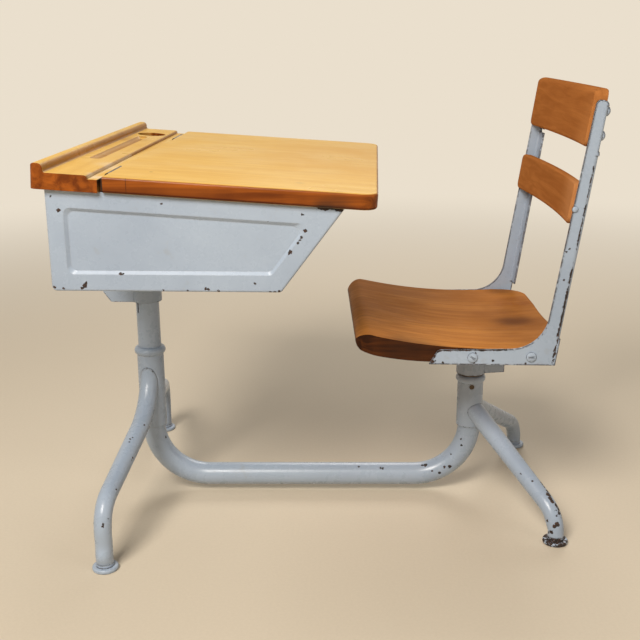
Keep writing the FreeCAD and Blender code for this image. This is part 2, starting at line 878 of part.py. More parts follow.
def make_top(screws):
    """Pen strip and lid, with the hinges between them."""
    middles = {}
    for place, side in (("near", -1), ("far", 1)):
        middles[place] = side * (half_top - hinge_inset - hinge_length / 2)

    profile = outline(
        [
            V(-strip_back, 0, -board_thickness),
            V(-strip_back, 0, rail_height),
            V(-strip_back + rail_width, 0, rail_height),
            V(-strip_back + rail_width, 0, 0),
            V(-half_gap - ledge_width, 0, 0),
            V(-half_gap - ledge_width, 0, -ledge_depth),
            V(-half_gap, 0, -ledge_depth),
            V(-half_gap, 0, -board_thickness),
        ],
        [strip_edge_round, rail_round, rail_round, rail_cove, ledge_round, 0, 0, 0],
    )
    profile.translate(V(0, -half_top, 0))
    strip = Part.Face(profile).extrude(V(0, top_width, 0))
    plan = plate_xy(
        oblong(-strip_back, -half_gap, half_top),
        [strip_corner, 0, 0, strip_corner],
        -board_thickness - overrun,
        rail_height + overrun,
    )
    strip = strip.common(plan)
    groove_height = groove_radius - groove_depth
    groove_start = V(-groove_from_gap, groove_near, groove_height)
    groove_end = V(-groove_from_gap, groove_far, groove_height)
    groove = rod(groove_radius, groove_start, groove_end)
    for end in (groove_start, groove_end):
        groove = groove.fuse(Part.makeSphere(groove_radius, end))
    strip = strip.cut(groove)
    well_foot = V(-inkwell_from_gap, inkwell_offset, -board_thickness - overrun)
    well_top = V(-inkwell_from_gap, inkwell_offset, overrun)
    strip = strip.cut(rod(inkwell_diameter / 2, well_foot, well_top))

    lid = plate_xy(
        oblong(half_gap, lid_front, half_top),
        [0, lid_corner, lid_corner, 0],
        flat_gap - board_thickness,
        0,
    )
    rims = [edge for edge in lid.Edges if edge.BoundBox.ZLength < joint_tolerance]
    lid = lid.makeFillet(lid_edge_round, rims)

    pins = []
    strip_hinge_screws = []
    lid_hinge_screws = []
    leaves = {}
    for place, middle in middles.items():
        axis_start = V(0, middle - hinge_length / 2, -ledge_depth)
        axis_end = V(0, middle + hinge_length / 2, -ledge_depth)
        pin = rod(hinge_pin_diameter / 2, axis_start, axis_end)
        loose_pin = rod(hinge_pin_diameter / 2 + running_fit, axis_start, axis_end)
        room = rod(
            knuckle_diameter / 2 + knuckle_relief,
            axis_start - ACROSS * flat_gap,
            axis_end + ACROSS * flat_gap,
        )
        strip_plate = hinge_plate(middle, -1)
        lid_plate = hinge_plate(middle, 1)
        set_in_strip = hinge_screws(middle, -1)
        set_in_lid = hinge_screws(middle, 1)
        strip_leaf = fused(strip_plate, *hinge_knuckles(middle, 0))
        strip_leaf = strip_leaf.cut(hinge_relief(middle, 1) + [pin] + set_in_strip)
        lid_leaf = fused(lid_plate, *hinge_knuckles(middle, 1))
        lid_leaf = lid_leaf.cut(hinge_relief(middle, 0) + [loose_pin] + set_in_lid)
        strip = strip.cut([room, strip_plate] + set_in_strip)
        lid = lid.cut([room, lid_plate] + set_in_lid)
        leaves[place + "_hinge_strip_leaf"] = strip_leaf
        leaves[place + "_hinge_lid_leaf"] = lid_leaf
        pins.append(pin)
        strip_hinge_screws += set_in_strip
        lid_hinge_screws += set_in_lid
    save("pen_strip", on_top(strip).cut(screws))
    save("strip_screws", Part.makeCompound(screws))
    save("lid_board", on_top(lid))
    for name, leaf in leaves.items():
        save(name, on_top(leaf))
    save("hinge_pins", on_top(Part.makeCompound(pins)))
    save("strip_hinge_screws", on_top(Part.makeCompound(strip_hinge_screws)))
    save("lid_hinge_screws", on_top(Part.makeCompound(lid_hinge_screws)))


def make_post():
    """Sliding seat post with its spindle, thrust washer, and the collar whose dog meets the buffers."""
    post_foot = socket_floor + post_foot_clearance
    collar_foot = recess_floor + flat_gap
    collar_top = collar_foot + collar_height
    spindle = rod(spindle_radius, V(0, 0, shoulder_top), V(0, 0, collar_top))
    post = fused(rod(post_radius, V(0, 0, post_foot), V(0, 0, shoulder_top)), spindle)
    pin_height = collar_foot + collar_height / 2
    pin_reach = collar_diameter / 2
    pin = rod(collar_pin_diameter / 2, V(0, -pin_reach, pin_height), V(0, pin_reach, pin_height))
    washer = rod(washer_diameter / 2, V(0, 0, shoulder_top), V(0, 0, washer_top))
    ring = rod(collar_diameter / 2, V(0, 0, collar_foot), V(0, 0, collar_top))
    dog = block(0, dog_reach, -dog_width / 2, dog_width / 2, collar_foot, collar_top)
    collar = fused(ring, dog)
    trimmed_pin = pin.common(ring)
    save("seat_post", on_post(post.cut(trimmed_pin)))
    save("thrust_washer", on_post(washer.cut(spindle)))
    save("stop_collar", on_post(collar.cut(spindle).cut(trimmed_pin)))
    save("collar_pin", on_post(trimmed_pin))


def spider_screws():
    """Screws from under the seat bracket's arms into the seat board."""
    places = [
        (-spider_front + spider_screw_inset, 0),
        (spider_rear - spider_screw_inset, spider_arm_width / 2 - spider_screw_head_diameter / 2),
        (spider_rear - spider_screw_inset, spider_screw_head_diameter / 2 - spider_arm_width / 2),
        (0, spider_half_width - spider_screw_inset),
        (0, spider_screw_inset - spider_half_width),
    ]
    screws = []
    for x, y in places:
        foot = V(x, y, seat_floor - spider_plate)
        head_radius = spider_screw_head_diameter / 2
        head = Part.makeCylinder(head_radius, spider_screw_head_height, foot, V(0, 0, -1))
        shank = rod(spider_screw_diameter / 2, foot, foot + UP * (spider_plate + spider_screw_length))
        screws.append(fused(head, shank))
    return screws


def make_seat_bracket(screws):
    """Casting under the seat: hub, boss with the stop recess, four arms, ribs and the rear arm."""
    plate_foot = seat_floor - spider_plate
    boss_foot = seat_floor - boss_depth
    hub = turned(
        [
            (0, seat_hub_foot),
            (hub_radius, seat_hub_foot),
            (hub_radius, seat_hub_foot + hub_neck),
            (boss_diameter / 2, boss_foot),
            (boss_diameter / 2, seat_floor),
            (0, seat_floor),
        ],
        0,
        0,
    )
    half_arm = spider_arm_width / 2
    corners = [spider_arm_corner] * 4
    length_arm = plate_xy(oblong(-spider_front, spider_rear, half_arm), corners, plate_foot, seat_floor)
    cross_arm = plate_xy(oblong(-half_arm, half_arm, spider_half_width), corners, plate_foot, seat_floor)
    arm_end_foot = seat_hub_foot + rear_arm_rise
    rear_arm = plate_xz(
        [
            (0, seat_hub_foot),
            (rear_arm_reach, arm_end_foot),
            (rear_arm_reach, arm_end_foot + rear_arm_height),
            (spider_rear - 2 * spider_screw_inset, plate_foot),
            (0, plate_foot),
        ],
        [0] * 5,
        -rear_arm_width / 2,
        rear_arm_width / 2,
    )
    rib_foot = plate_foot - spider_rib_height
    front_toe = -spider_front + 2 * spider_screw_inset + spider_rib_toe
    front_rib = plate_xz(
        [(0, rib_foot), (-hub_radius, rib_foot), (front_toe, plate_foot), (0, plate_foot)],
        [0] * 4,
        -spider_rib_width / 2,
        spider_rib_width / 2,
    )
    side_toe = spider_half_width - 2 * spider_screw_inset - spider_rib_toe
    side_ribs = plate_yz(
        [(-hub_radius, rib_foot), (hub_radius, rib_foot), (side_toe, plate_foot), (-side_toe, plate_foot)],
        [0] * 4,
        -spider_rib_width / 2,
        spider_rib_width / 2,
    )
    bracket = fused(hub, length_arm, cross_arm, rear_arm, front_rib, side_ribs)
    bore = rod(bush_radius, V(0, 0, seat_hub_foot - overrun), V(0, 0, seat_floor + overrun))
    recess = rod(recess_diameter / 2, V(0, 0, recess_floor), V(0, 0, seat_floor + overrun))
    bush = rod(bush_radius, V(0, 0, seat_hub_foot), V(0, 0, recess_floor))
    bush = bush.cut(rod(spindle_radius + running_fit, V(0, 0, seat_hub_foot), V(0, 0, recess_floor)))

    contact = (dog_width + buffer_diameter) / 2 + flat_gap
    buffer_angle = math.radians(swing_limit) + math.asin(2 * contact / buffer_circle)
    buffers = []
    for side in (-1, 1):
        x = buffer_circle / 2 * math.cos(buffer_angle)
        y = side * buffer_circle / 2 * math.sin(buffer_angle)
        foot = V(x, y, recess_floor - buffer_seat)
        buffers.append(rod(buffer_diameter / 2, foot, foot + UP * (buffer_seat + buffer_height)))
    save("seat_bracket", on_seat(bracket.cut([bore, recess] + buffers + screws)))
    save("swivel_bush", on_seat(bush))
    save("swivel_buffers", on_seat(Part.makeCompound(buffers)))
    save("spider_screws", on_seat(Part.makeCompound(screws)))


def side_screws(side):
    """Round-head screws through one side bracket into the edge of the seat board."""
    screws = []
    for x in (side_screw_front, side_screw_rear):
        face = V(x, side * side_outer, side_screw_height)
        outwards = V(0, side, 0)
        head = Part.makeCylinder(side_screw_head_diameter / 2, side_screw_head_height, face, outwards)
        crown = max(head.Edges, key=lambda edge: abs(edge.BoundBox.Center.y))
        head = head.makeFillet(side_screw_head_height / 2, [crown])
        shank = rod(side_screw_diameter / 2, face, face - outwards * (side_sheet + side_screw_length))
        screws.append(fused(head, shank))
    return screws


def make_seat_board(screws):
    """Wooden seat: a rolled front, a hollow along and across, rounded corners."""
    rear_high = V(seat_rear, 0, seat_floor + seat_rear_height)
    hollow = V(-seat_hollow_place, 0, seat_floor + seat_hollow)
    crest = V(seat_crest_setback - seat_front, 0, seat_floor + seat_crest)
    nose = V(-seat_front, 0, seat_floor + seat_nose_height)
    nose_foot = V(seat_nose_under - seat_front, 0, seat_floor + seat_nose_foot)
    top_arc = Part.Arc(rear_high, hollow, crest).toShape().Curve
    behind = seat_rear + overrun
    fall = math.sqrt(top_arc.Radius ** 2 - (behind - top_arc.Center.x) ** 2)
    behind_low = V(behind, 0, seat_floor)
    behind_high = V(behind, 0, top_arc.Center.z - fall)
    rise_start = V(-seat_rise_start, 0, seat_floor)
    rise_run = seat_front - seat_nose_under - seat_rise_start
    rise_radius = (rise_run ** 2 + seat_nose_foot ** 2) / (2 * seat_nose_foot)
    half_rise = rise_radius - math.sqrt(rise_radius ** 2 - (rise_run / 2) ** 2)
    rise = V(-seat_rise_start - rise_run / 2, 0, seat_floor + half_rise)
    brow = nose + (crest - nose) * brow_share + V(-1, 0, 1) * (seat_crest - seat_nose_height) * bulge_share
    chin = nose + (nose_foot - nose) * brow_share + V(-1, 0, -1) * seat_nose_under * bulge_share
    edges = [
        Part.LineSegment(behind_low, behind_high).toShape(),
        Part.Arc(behind_high, hollow, crest).toShape(),
        Part.Arc(crest, brow, nose).toShape(),
        Part.Arc(nose, chin, nose_foot).toShape(),
        Part.Arc(nose_foot, rise, rise_start).toShape(),
        Part.LineSegment(rise_start, behind_low).toShape(),
    ]
    profile = Part.Face(Part.Wire(edges))
    profile.translate(V(0, -half_seat, 0))
    board = profile.extrude(V(0, seat_width, 0))
    plan = plate_xy(
        oblong(-seat_front - overrun, seat_rear, half_seat),
        [seat_front_corner, seat_rear_corner, seat_rear_corner, seat_front_corner],
        seat_floor - overrun,
        seat_floor + seat_crest + overrun,
    )
    board = board.common(plan)
    dish_height = seat_floor + seat_hollow - seat_dish + seat_dish_radius
    dish = Part.makeSphere(seat_dish_radius, V(seat_dish_place, 0, dish_height))
    save("seat_board", on_seat(board.cut(dish).cut(screws)))


def slat(foot, height, thickness, front, bow, crest):
    """Bowed wooden slat with a rolled front crest and rounded corners, in the frame of the uprights."""
    half_length = half_seat - slat_end_gap
    bend_radius = (half_length ** 2 + bow ** 2) / (2 * bow)
    middle = front + bow
    section = outline(
        [
            V(middle, 0, foot),
            V(middle + thickness, 0, foot),
            V(middle + thickness, 0, foot + height),
            V(middle, 0, foot + height),
        ],
        [slat_edge_round, slat_edge_round, slat_edge_round, crest],
    )
    centre = V(middle - bend_radius, 0, 0)
    half_angle = math.degrees(math.asin(half_length / bend_radius)) + math.degrees(overrun / bend_radius)
    face = Part.Face(section)
    face.rotate(centre, UP, -half_angle)
    bar = face.revolve(centre, UP, 2 * half_angle)
    front_view = plate_yz(
        [
            (-half_length, foot),
            (half_length, foot),
            (half_length, foot + height),
            (-half_length, foot + height),
        ],
        [slat_corner] * 4,
        front - overrun,
        middle + thickness + overrun,
    )
    return bar.common(front_view)


def slat_seats(foot, height, back):
    """Blocks that cut the flats at the back of a slat's ends, where the flanges lie."""
    inner = side_outer - side_flange_width - slat_end_gap
    deep = back + upright_depth
    cuts = []
    for side in (-1, 1):
        low = min(side * inner, side * side_outer)
        high = max(side * inner, side * side_outer)
        cuts.append(block(back, deep, low, high, foot - overrun, foot + height + overrun))
    return cuts


def flange_section(rear, bend, start, end):
    """Upright's angle section: web, rolled corner and flange, between two heights."""
    corners = [
        V(-upright_depth, -side_outer, start),
        V(rear, -side_outer, start),
        V(rear, side_flange_width - side_outer, start),
        V(rear - side_sheet, side_flange_width - side_outer, start),
        V(rear - side_sheet, -half_seat, start),
        V(-upright_depth, -half_seat, start),
    ]
    face = Part.Face(outline(corners, [0, bend, 0, 0, bend - side_sheet, 0]))
    return face.extrude(V(0, 0, end - start))


def make_seat_sides(board_screws):
    """Pressed side brackets, the two slats, and what fastens them."""
    arm_slope = math.tan(math.radians(upright_lean))
    arm_rise = (arm_top - upright_foot_height) / math.cos(math.radians(upright_lean))
    inner_height = arm_rise - upright_depth * arm_slope
    web_points = [
        (-arm_front, arm_front_bottom),
        (-arm_front + arm_front_slant, arm_top),
        lean_point(-upright_depth, inner_height),
        lean_point(-upright_top_depth, upright_length),
        lean_point(-top_flange_setback, upright_length),
        lean_point(-top_flange_setback, top_flange_start),
        lean_point(0, lower_flange_end),
        lean_point(0, 0),
    ]
    web_radii = [0, arm_nose_round, upright_fillet, upright_top_round, upright_top_round, 0, 0, 0]
    web = plate_xz(web_points, web_radii, -side_outer, -half_seat)
    for rear, bend, start, end in (
        (0, lower_flange_bend, lower_flange_start, lower_flange_end),
        (-top_flange_setback, top_flange_bend, top_flange_start, top_flange_end),
    ):
        corner = block(rear - bend, upright_depth, -side_outer - overrun, overrun - half_seat, start, end)
        section = flange_section(rear, bend, start, end)
        kept = block(rear - bend, upright_depth, -side_outer, 0, start, end)
        web = fused(web.cut(on_lean(corner)), on_lean(section.common(kept)))

    pivot_along = lower_slat_front + lower_slat_thickness / 2
    pivot_foot = lower_slat_foot + pivot_height
    pivots = []
    holes = []
    bolts = []
    for side in (-1, 1):
        face = V(pivot_along, side * side_outer, pivot_foot)
        outwards = V(0, side, 0)
        head = Part.makeCylinder(pivot_head_diameter / 2, pivot_head_height, face, outwards)
        crown = max(head.Edges, key=lambda edge: abs(edge.BoundBox.Center.y))
        head = head.makeFillet(pivot_head_height / 2, [crown])
        tip = face - outwards * (side_sheet + slat_end_gap + pivot_bite)
        pivots.append(fused(head, rod(pivot_diameter / 2, face, tip)))
        holes.append(rod(pivot_diameter / 2 + running_fit, face, tip - outwards * flat_gap))
        for height in (slat_bolt_low, slat_bolt_high):
            across = side * (side_outer - side_flange_width + slat_bolt_inset)
            seat = V(-top_flange_setback, across, top_slat_foot + height)
            head = Part.makeCylinder(slat_bolt_head_diameter / 2, slat_bolt_head_height, seat, V(1, 0, 0))
            crown = max(head.Edges, key=lambda edge: edge.BoundBox.Center.x)
            head = head.makeFillet(slat_bolt_head_height / 2, [crown])
            shank = rod(slat_bolt_diameter / 2, seat, seat - V(side_sheet + slat_bolt_bite, 0, 0))
            bolts.append(fused(head, shank))

    top_slat_front = top_slat_back - top_slat_thickness
    foot = top_slat_foot
    height = top_slat_height
    top_slat = slat(foot, height, top_slat_thickness, top_slat_front, top_slat_bow, top_slat_crest)
    top_slat = top_slat.cut(slat_seats(foot, height, top_slat_back) + bolts)
    foot = lower_slat_foot
    height = lower_slat_height
    lower_slat = slat(foot, height, lower_slat_thickness, lower_slat_front, lower_slat_bow, slat_edge_round)
    lower_back = lower_slat_front + lower_slat_thickness
    lower_slat = lower_slat.cut(slat_seats(foot, height, lower_back) + holes)

    leaning_pivots = [on_lean(pivot) for pivot in pivots]
    leaning_bolts = [on_lean(bolt) for bolt in bolts]
    fasteners = board_screws + leaning_pivots + leaning_bolts
    save("seat_side_near", on_seat(web.cut(fasteners)))
    save("seat_side_far", on_seat(mirrored(web).cut(fasteners)))
    save("side_screws", on_seat(Part.makeCompound(board_screws)))
    save("slat_pivots", on_seat(Part.makeCompound(leaning_pivots)))
    save("slat_bolts", on_seat(Part.makeCompound(leaning_bolts)))
    save("top_slat", on_seat(on_lean(top_slat)))
    save("lower_slat", on_seat(on_lean(lower_slat)))


def main():
    """Build every piece and write it to its own file."""
    os.makedirs("parts", exist_ok=True)
    make_base()
    bolts = make_column()
    rim_screws = strip_screws()
    make_box(bolts, rim_screws)
    make_top(rim_screws)
    make_post()
    under_screws = spider_screws()
    make_seat_bracket(under_screws)
    edge_screws = side_screws(-1) + side_screws(1)
    make_seat_board(under_screws + edge_screws)
    make_seat_sides(edge_screws)


main()
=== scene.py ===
# %% [markdown]
# A school desk with a lift-up lid and a swivel seat, standing on one bent tube. Its solids come
# from the part's own model and stay where they are. This lesson gives each piece its surface:
# chipped enamel on the steel, honey-coloured maple on the top, and browner, worn wood on the seat.
# First the solids are loaded.

# %% Load the frame
import json
import math

import bmesh
import bpy
from mathutils import Matrix, Vector


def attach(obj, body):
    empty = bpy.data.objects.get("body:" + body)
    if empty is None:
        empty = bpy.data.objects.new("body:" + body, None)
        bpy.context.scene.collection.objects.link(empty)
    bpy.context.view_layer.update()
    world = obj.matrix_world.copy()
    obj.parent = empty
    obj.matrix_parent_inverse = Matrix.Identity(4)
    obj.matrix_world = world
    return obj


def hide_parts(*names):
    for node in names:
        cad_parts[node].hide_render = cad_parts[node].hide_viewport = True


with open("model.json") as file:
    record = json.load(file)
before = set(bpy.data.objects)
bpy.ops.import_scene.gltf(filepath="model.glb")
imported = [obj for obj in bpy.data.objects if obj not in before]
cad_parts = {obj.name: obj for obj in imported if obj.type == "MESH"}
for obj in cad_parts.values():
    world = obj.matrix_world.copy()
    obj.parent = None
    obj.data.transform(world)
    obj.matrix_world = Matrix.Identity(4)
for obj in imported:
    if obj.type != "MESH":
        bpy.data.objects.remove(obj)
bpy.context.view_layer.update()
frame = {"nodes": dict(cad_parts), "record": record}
nodes = frame["nodes"]
body_of = {}
for body, members in frame["record"]["behaviour"]["bodies"].items():
    for member in members:
        body_of[member] = body
MM = 0.001
scene = bpy.context.scene
scene.view_settings.view_transform = "Standard"

# %% [markdown]
# The camera stands where the photographer stood: a little to the right of the middle, higher than
# the back rest and tipped down. A camera can be placed by eye, but then no corner falls quite
# where it should. This one's lens and place were worked out from the desk's own corners and feet.

# %% Camera
camera_place = Vector((61.0, -1573.2, 770.1)) * MM
camera_turn = math.radians(3.241)
camera_tip = math.radians(16.221)
camera_roll = math.radians(0.362)
lens_pixels = 987.6
frame_pixels = 640.0

camera_data = bpy.data.cameras.new("camera")
camera_data.sensor_width = 36.0
camera_data.sensor_fit = "HORIZONTAL"
camera_data.lens = camera_data.sensor_width * lens_pixels / frame_pixels
camera = bpy.data.objects.new("camera", camera_data)
scene.collection.objects.link(camera)
turned = Matrix.Rotation(camera_turn, 3, "Z") @ Matrix.Rotation(-camera_tip, 3, "X")
right, forward, up = (turned @ Matrix.Rotation(camera_roll, 3, "Y")).col
camera.matrix_world = Matrix((
    (right.x, up.x, -forward.x, camera_place.x),
    (right.y, up.y, -forward.y, camera_place.y),
    (right.z, up.z, -forward.z, camera_place.z),
    (0, 0, 0, 1),
))
scene.camera = camera
print("lens %.1f mm" % camera_data.lens)

# %% [markdown]
# Each finish below is a net of nodes. Every node could be made, set and wired in four or five lines
# of its own, but such a net is hard to read. These helpers make a node in one line, and link each
# input to another node or fill it with a value, whichever is given.

# %% Node helpers
def fill(tree, socket, value):
    """Link a socket to another, or set its value."""
    if isinstance(value, bpy.types.NodeSocket):
        tree.links.new(value, socket)
    else:
        socket.default_value = value


def add(tree, kind, inputs=None, **settings):
    """Make one node in a tree, with its options and its inputs set or linked."""
    made = tree.nodes.new(kind)
    for key, value in settings.items():
        setattr(made, key, value)
    for key, value in (inputs or {}).items():
        fill(tree, made.inputs[key], value)
    return made


def maths(tree, operation, first, second=0.0, third=0.0, clamp=False):
    """One sum of two or three values."""
    inputs = {0: first, 1: second, 2: third}
    return add(tree, "ShaderNodeMath", inputs, operation=operation, use_clamp=clamp).outputs[0]


def ramp(tree, value, low, high, start=0.0, end=1.0):
    """A value smoothly stretched from one range to another."""
    inputs = {"Value": value, "From Min": low, "From Max": high, "To Min": start, "To Max": end}
    return add(tree, "ShaderNodeMapRange", inputs, interpolation_type="SMOOTHSTEP").outputs[0]


def mix(tree, factor, first, second):
    """Two colours mixed by a factor."""
    made = add(tree, "ShaderNodeMix", data_type="RGBA")
    factor_place, first_place, second_place, colour_place = 0, 6, 7, 2
    fill(tree, made.inputs[factor_place], factor)
    fill(tree, made.inputs[first_place], first)
    fill(tree, made.inputs[second_place], second)
    return made.outputs[colour_place]


print("node helpers ready")

# %% [markdown]
# A chip or a stain of a known place is a question of distance: how far is this bit of surface from
# a point, or from a stroke between two points? Painting it on a map would do too, but a map needs
# the mesh unwrapped and has a limited sharpness. Noise then makes the plain shapes look worn.

# %% Distance and noise
single_values = ("DISTANCE", "DOT_PRODUCT", "LENGTH")


def vectors(tree, operation, first, second=(0.0, 0.0, 0.0)):
    """One sum of two vectors, which gives a vector or a single value."""
    made = add(tree, "ShaderNodeVectorMath", {0: first, 1: second}, operation=operation)
    return made.outputs["Value" if operation in single_values else "Vector"]


def scaled(tree, vector, amount):
    """A vector made longer or shorter."""
    made = add(tree, "ShaderNodeVectorMath", {0: vector, "Scale": amount}, operation="SCALE")
    return made.outputs["Vector"]


def point_distance(tree, place, point):
    """How far the surface is from a point in millimetres."""
    return vectors(tree, "DISTANCE", place, Vector(point) * MM)


def stroke_distance(tree, place, first, last):
    """How far the surface is from a straight stroke between two points in millimetres."""
    start = Vector(first) * MM
    run = Vector(last) * MM - start
    from_start = vectors(tree, "SUBTRACT", place, start)
    along = vectors(tree, "DOT_PRODUCT", from_start, run / run.length_squared)
    share = maths(tree, "ADD", along, 0.0, clamp=True)
    return vectors(tree, "DISTANCE", from_start, scaled(tree, run, share))


def noise(tree, place, scale, detail=3.0, roughness=0.55, distortion=0.0):
    """The value of a noise texture."""
    inputs = {"Vector": place, "Scale": scale, "Detail": detail, "Roughness": roughness}
    inputs["Distortion"] = distortion
    return add(tree, "ShaderNodeTexNoise", inputs).outputs["Fac"]


print("sums that give a single value", single_values)

# %% [markdown]
# Colours are written as they are seen and turned into the linear light that Blender works in.
# Wear and grain are shared by several materials, so each is built once as a group with named
# sockets. A material starts from its main shader and its Object coordinates, in which a pattern
# stays put on the piece however the piece moves.

# %% Colours, groups and materials
def colour(red, green, blue):
    """A colour given as it is seen, 0 to 255, as linear light."""
    linear = []
    for level in (red, green, blue):
        share = level / 255
        linear.append(share / 12.92 if share <= 0.04045 else ((share + 0.055) / 1.055) ** 2.4)
    return (*linear, 1.0)


def new_group(name, inputs, outputs):
    """An empty shader group with named sockets, and the sockets of its two end nodes."""
    tree = bpy.data.node_groups.new(name, "ShaderNodeTree")
    for label, kind, value in inputs:
        kind = "NodeSocket" + kind
        socket = tree.interface.new_socket(label, in_out="INPUT", socket_type=kind)
        if value is not None:
            socket.default_value = value
    for label in outputs:
        tree.interface.new_socket(label, in_out="OUTPUT", socket_type="NodeSocketFloat")
    return tree, add(tree, "NodeGroupInput").outputs, add(tree, "NodeGroupOutput").inputs


def place_group(tree, group, inputs):
    """One of the shared groups placed in a material."""
    return add(tree, "ShaderNodeGroup", inputs, node_tree=group).outputs


def new_material(name):
    """An empty material: its tree, its main shader and its Object coordinates."""
    material = bpy.data.materials.new(name)
    material.use_nodes = True
    tree = material.node_tree
    place = add(tree, "ShaderNodeTexCoord").outputs["Object"]
    return material, tree, tree.nodes["Principled BSDF"], place


def relief(tree, shader, height, strength, depth, rounding=0.0):
    """A fine relief on a material, whose edges may also look rounded by a radius."""
    bump = {"Height": height, "Strength": strength, "Distance": depth}
    if rounding:
        bump["Normal"] = add(tree, "ShaderNodeBevel", {"Radius": rounding}, samples=4).outputs[0]
    fill(tree, shader.inputs["Normal"], add(tree, "ShaderNodeBump", bump).outputs[0])


print("mid grey in linear light %.3f" % colour(128, 128, 128)[0])

# %% [markdown]
# Paint wears first where a hand or a shoe catches it: on the edges. The Bevel node gives the normal
# that a rounded edge would have. Where that differs from the true normal, there is an edge. This
# needs no paint map and no extra vertices, so it works on any mesh of the desk.

# %% Edge finder
edge_group, given, result = new_group(
    "edge_finder",
    [("Width", "Float", 0.003), ("Low", "Float", 0.01), ("High", "Float", 0.15)],
    ["Edge"],
)
rounded = add(edge_group, "ShaderNodeBevel", {"Radius": given["Width"]}, samples=6).outputs[0]
true_normal = add(edge_group, "ShaderNodeNewGeometry").outputs["Normal"]
likeness = vectors(edge_group, "DOT_PRODUCT", rounded, true_normal)
turned_away = maths(edge_group, "SUBTRACT", 1.0, likeness)
edge_range = {"Value": turned_away, "From Min": given["Low"], "From Max": given["High"]}
fill(edge_group, result["Edge"], add(edge_group, "ShaderNodeMapRange", edge_range).outputs[0])
print("group", edge_group.name, "nodes", len(edge_group.nodes))

# %% [markdown]
# Enamel breaks off in small sharp-edged flakes. A noise texture cut off at a level gives such
# shapes. The noise is lifted near an edge and inside a worn zone, so flakes grow and join there.
# A second, coarser noise lets them come in patches, and a third tells rust from dark metal.

# %% Flakes
flake_group, given, result = new_group(
    "flakes",
    [
        ("Vector", "Vector", None),
        ("Fineness", "Float", 150.0),
        ("Rare", "Float", 0.8),
        ("Edge", "Float", 0.0),
        ("Edge Share", "Float", 0.25),
        ("Zone", "Float", 0.0),
    ],
    ["Bare", "Rust"],
)
rim_softness = 0.012
patch_share = 0.5
rust_start, rust_full = 0.42, 0.7
level = noise(flake_group, given["Vector"], given["Fineness"], detail=5.0, roughness=0.62)
patches = noise(flake_group, given["Vector"], scale=16.0, detail=2.0)
patchy = maths(flake_group, "MULTIPLY_ADD", patches, patch_share, -patch_share / 2)
near_edge = maths(flake_group, "MULTIPLY", given["Edge"], given["Edge Share"])
for lift in (patchy, near_edge, given["Zone"]):
    level = maths(flake_group, "ADD", level, lift)
above = maths(flake_group, "SUBTRACT", level, given["Rare"])
fill(flake_group, result["Bare"], ramp(flake_group, above, 0.0, rim_softness))
rust = noise(flake_group, given["Vector"], scale=240.0, detail=4.0)
fill(flake_group, result["Rust"], ramp(flake_group, rust, rust_start, rust_full))
print("group", flake_group.name, "nodes", len(flake_group.nodes))

# %% [markdown]
# Both woods show long, wavy bands and fine dark pores that run one way. Squeezing the coordinates
# along the grain stretches plain noise into fibres, so no picture of wood is needed and the grain
# runs on round every edge. The group gives bands, pores, a height for relief and soft blotches.

# %% Wood grain
grain_group, given, result = new_group(
    "wood_grain",
    [
        ("Vector", "Vector", None),
        ("Stretch", "Vector", (0.05, 1.0, 1.0)),
        ("Bands", "Float", 60.0),
        ("Wave", "Float", 0.9),
        ("Pores", "Float", 900.0),
    ],
    ["Band", "Pore", "Height", "Blotch"],
)
pore_start, pore_full = 0.56, 0.72
pore_depth = 0.5
middle_levels = (0.3, 0.7)
along = vectors(grain_group, "MULTIPLY", given["Vector"], given["Stretch"])
bands = noise(
    grain_group, along, given["Bands"], detail=6.0, roughness=0.6, distortion=given["Wave"]
)
fibres = noise(grain_group, along, given["Pores"], detail=3.0, roughness=0.7)
pores = ramp(grain_group, fibres, pore_start, pore_full)
blotch = noise(grain_group, given["Vector"], scale=9.0)
height = maths(grain_group, "MULTIPLY_ADD", pores, -pore_depth, bands)
fill(grain_group, result["Band"], ramp(grain_group, bands, *middle_levels))
fill(grain_group, result["Pore"], pores)
fill(grain_group, result["Height"], height)
fill(grain_group, result["Blotch"], ramp(grain_group, blotch, *middle_levels))
print("group", grain_group.name, "nodes", len(grain_group.nodes))

# %% [markdown]
# Besides the random flakes, the enamel has larger chips at spots of their own. Each is a ball
# around a point, or a band along a stroke, whose rim is torn because the place on the surface is
# pushed about by noise before it is measured. Zones are wide balls in which flakes come more often.

# %% Chips and worn zones
tear_depth = 5.0 * MM
chip_core, chip_rim = 0.9, 1.1
stroke_gap, stroke_full = 0.36, 0.6


def worn_zone(tree, place, zones):
    """How much more easily paint flakes here, from zones of (point, reach, strength)."""
    worn = 0.0
    for point, reach, strength in zones:
        away = point_distance(tree, place, point)
        here = ramp(tree, away, 0.0, reach * MM, strength, 0.0)
        worn = here if worn == 0.0 else maths(tree, "MAXIMUM", worn, here)
    return worn


def torn_place(tree, place):
    """The place on the surface pushed about by fine noise."""
    ragged = add(tree, "ShaderNodeTexNoise", {"Vector": place, "Scale": 400.0, "Detail": 3.0})
    offset = vectors(tree, "SUBTRACT", ragged.outputs["Color"], (0.5, 0.5, 0.5))
    return vectors(tree, "ADD", place, scaled(tree, offset, tear_depth))


def knocked_off(tree, place, bare, chips, strokes):
    """Bare metal also at chips of (point, size) and along strokes of (first, last, size)."""
    torn = torn_place(tree, place)
    for point, size in chips:
        away = point_distance(tree, torn, point)
        chip = ramp(tree, away, chip_core * size * MM, chip_rim * size * MM, 1.0, 0.0)
        bare = maths(tree, "MAXIMUM", bare, chip)
    for first, last, size in strokes:
        away = stroke_distance(tree, torn, first, last)
        broken = noise(tree, place, scale=70.0, detail=4.0, roughness=0.7)
        reach = ramp(tree, broken, stroke_gap, stroke_full, 0.0, size * MM)
        bare = maths(tree, "MAXIMUM", bare, maths(tree, "LESS_THAN", away, reach))
    return bare


print("rims torn by up to %.1f mm" % (tear_depth / 2 / MM))

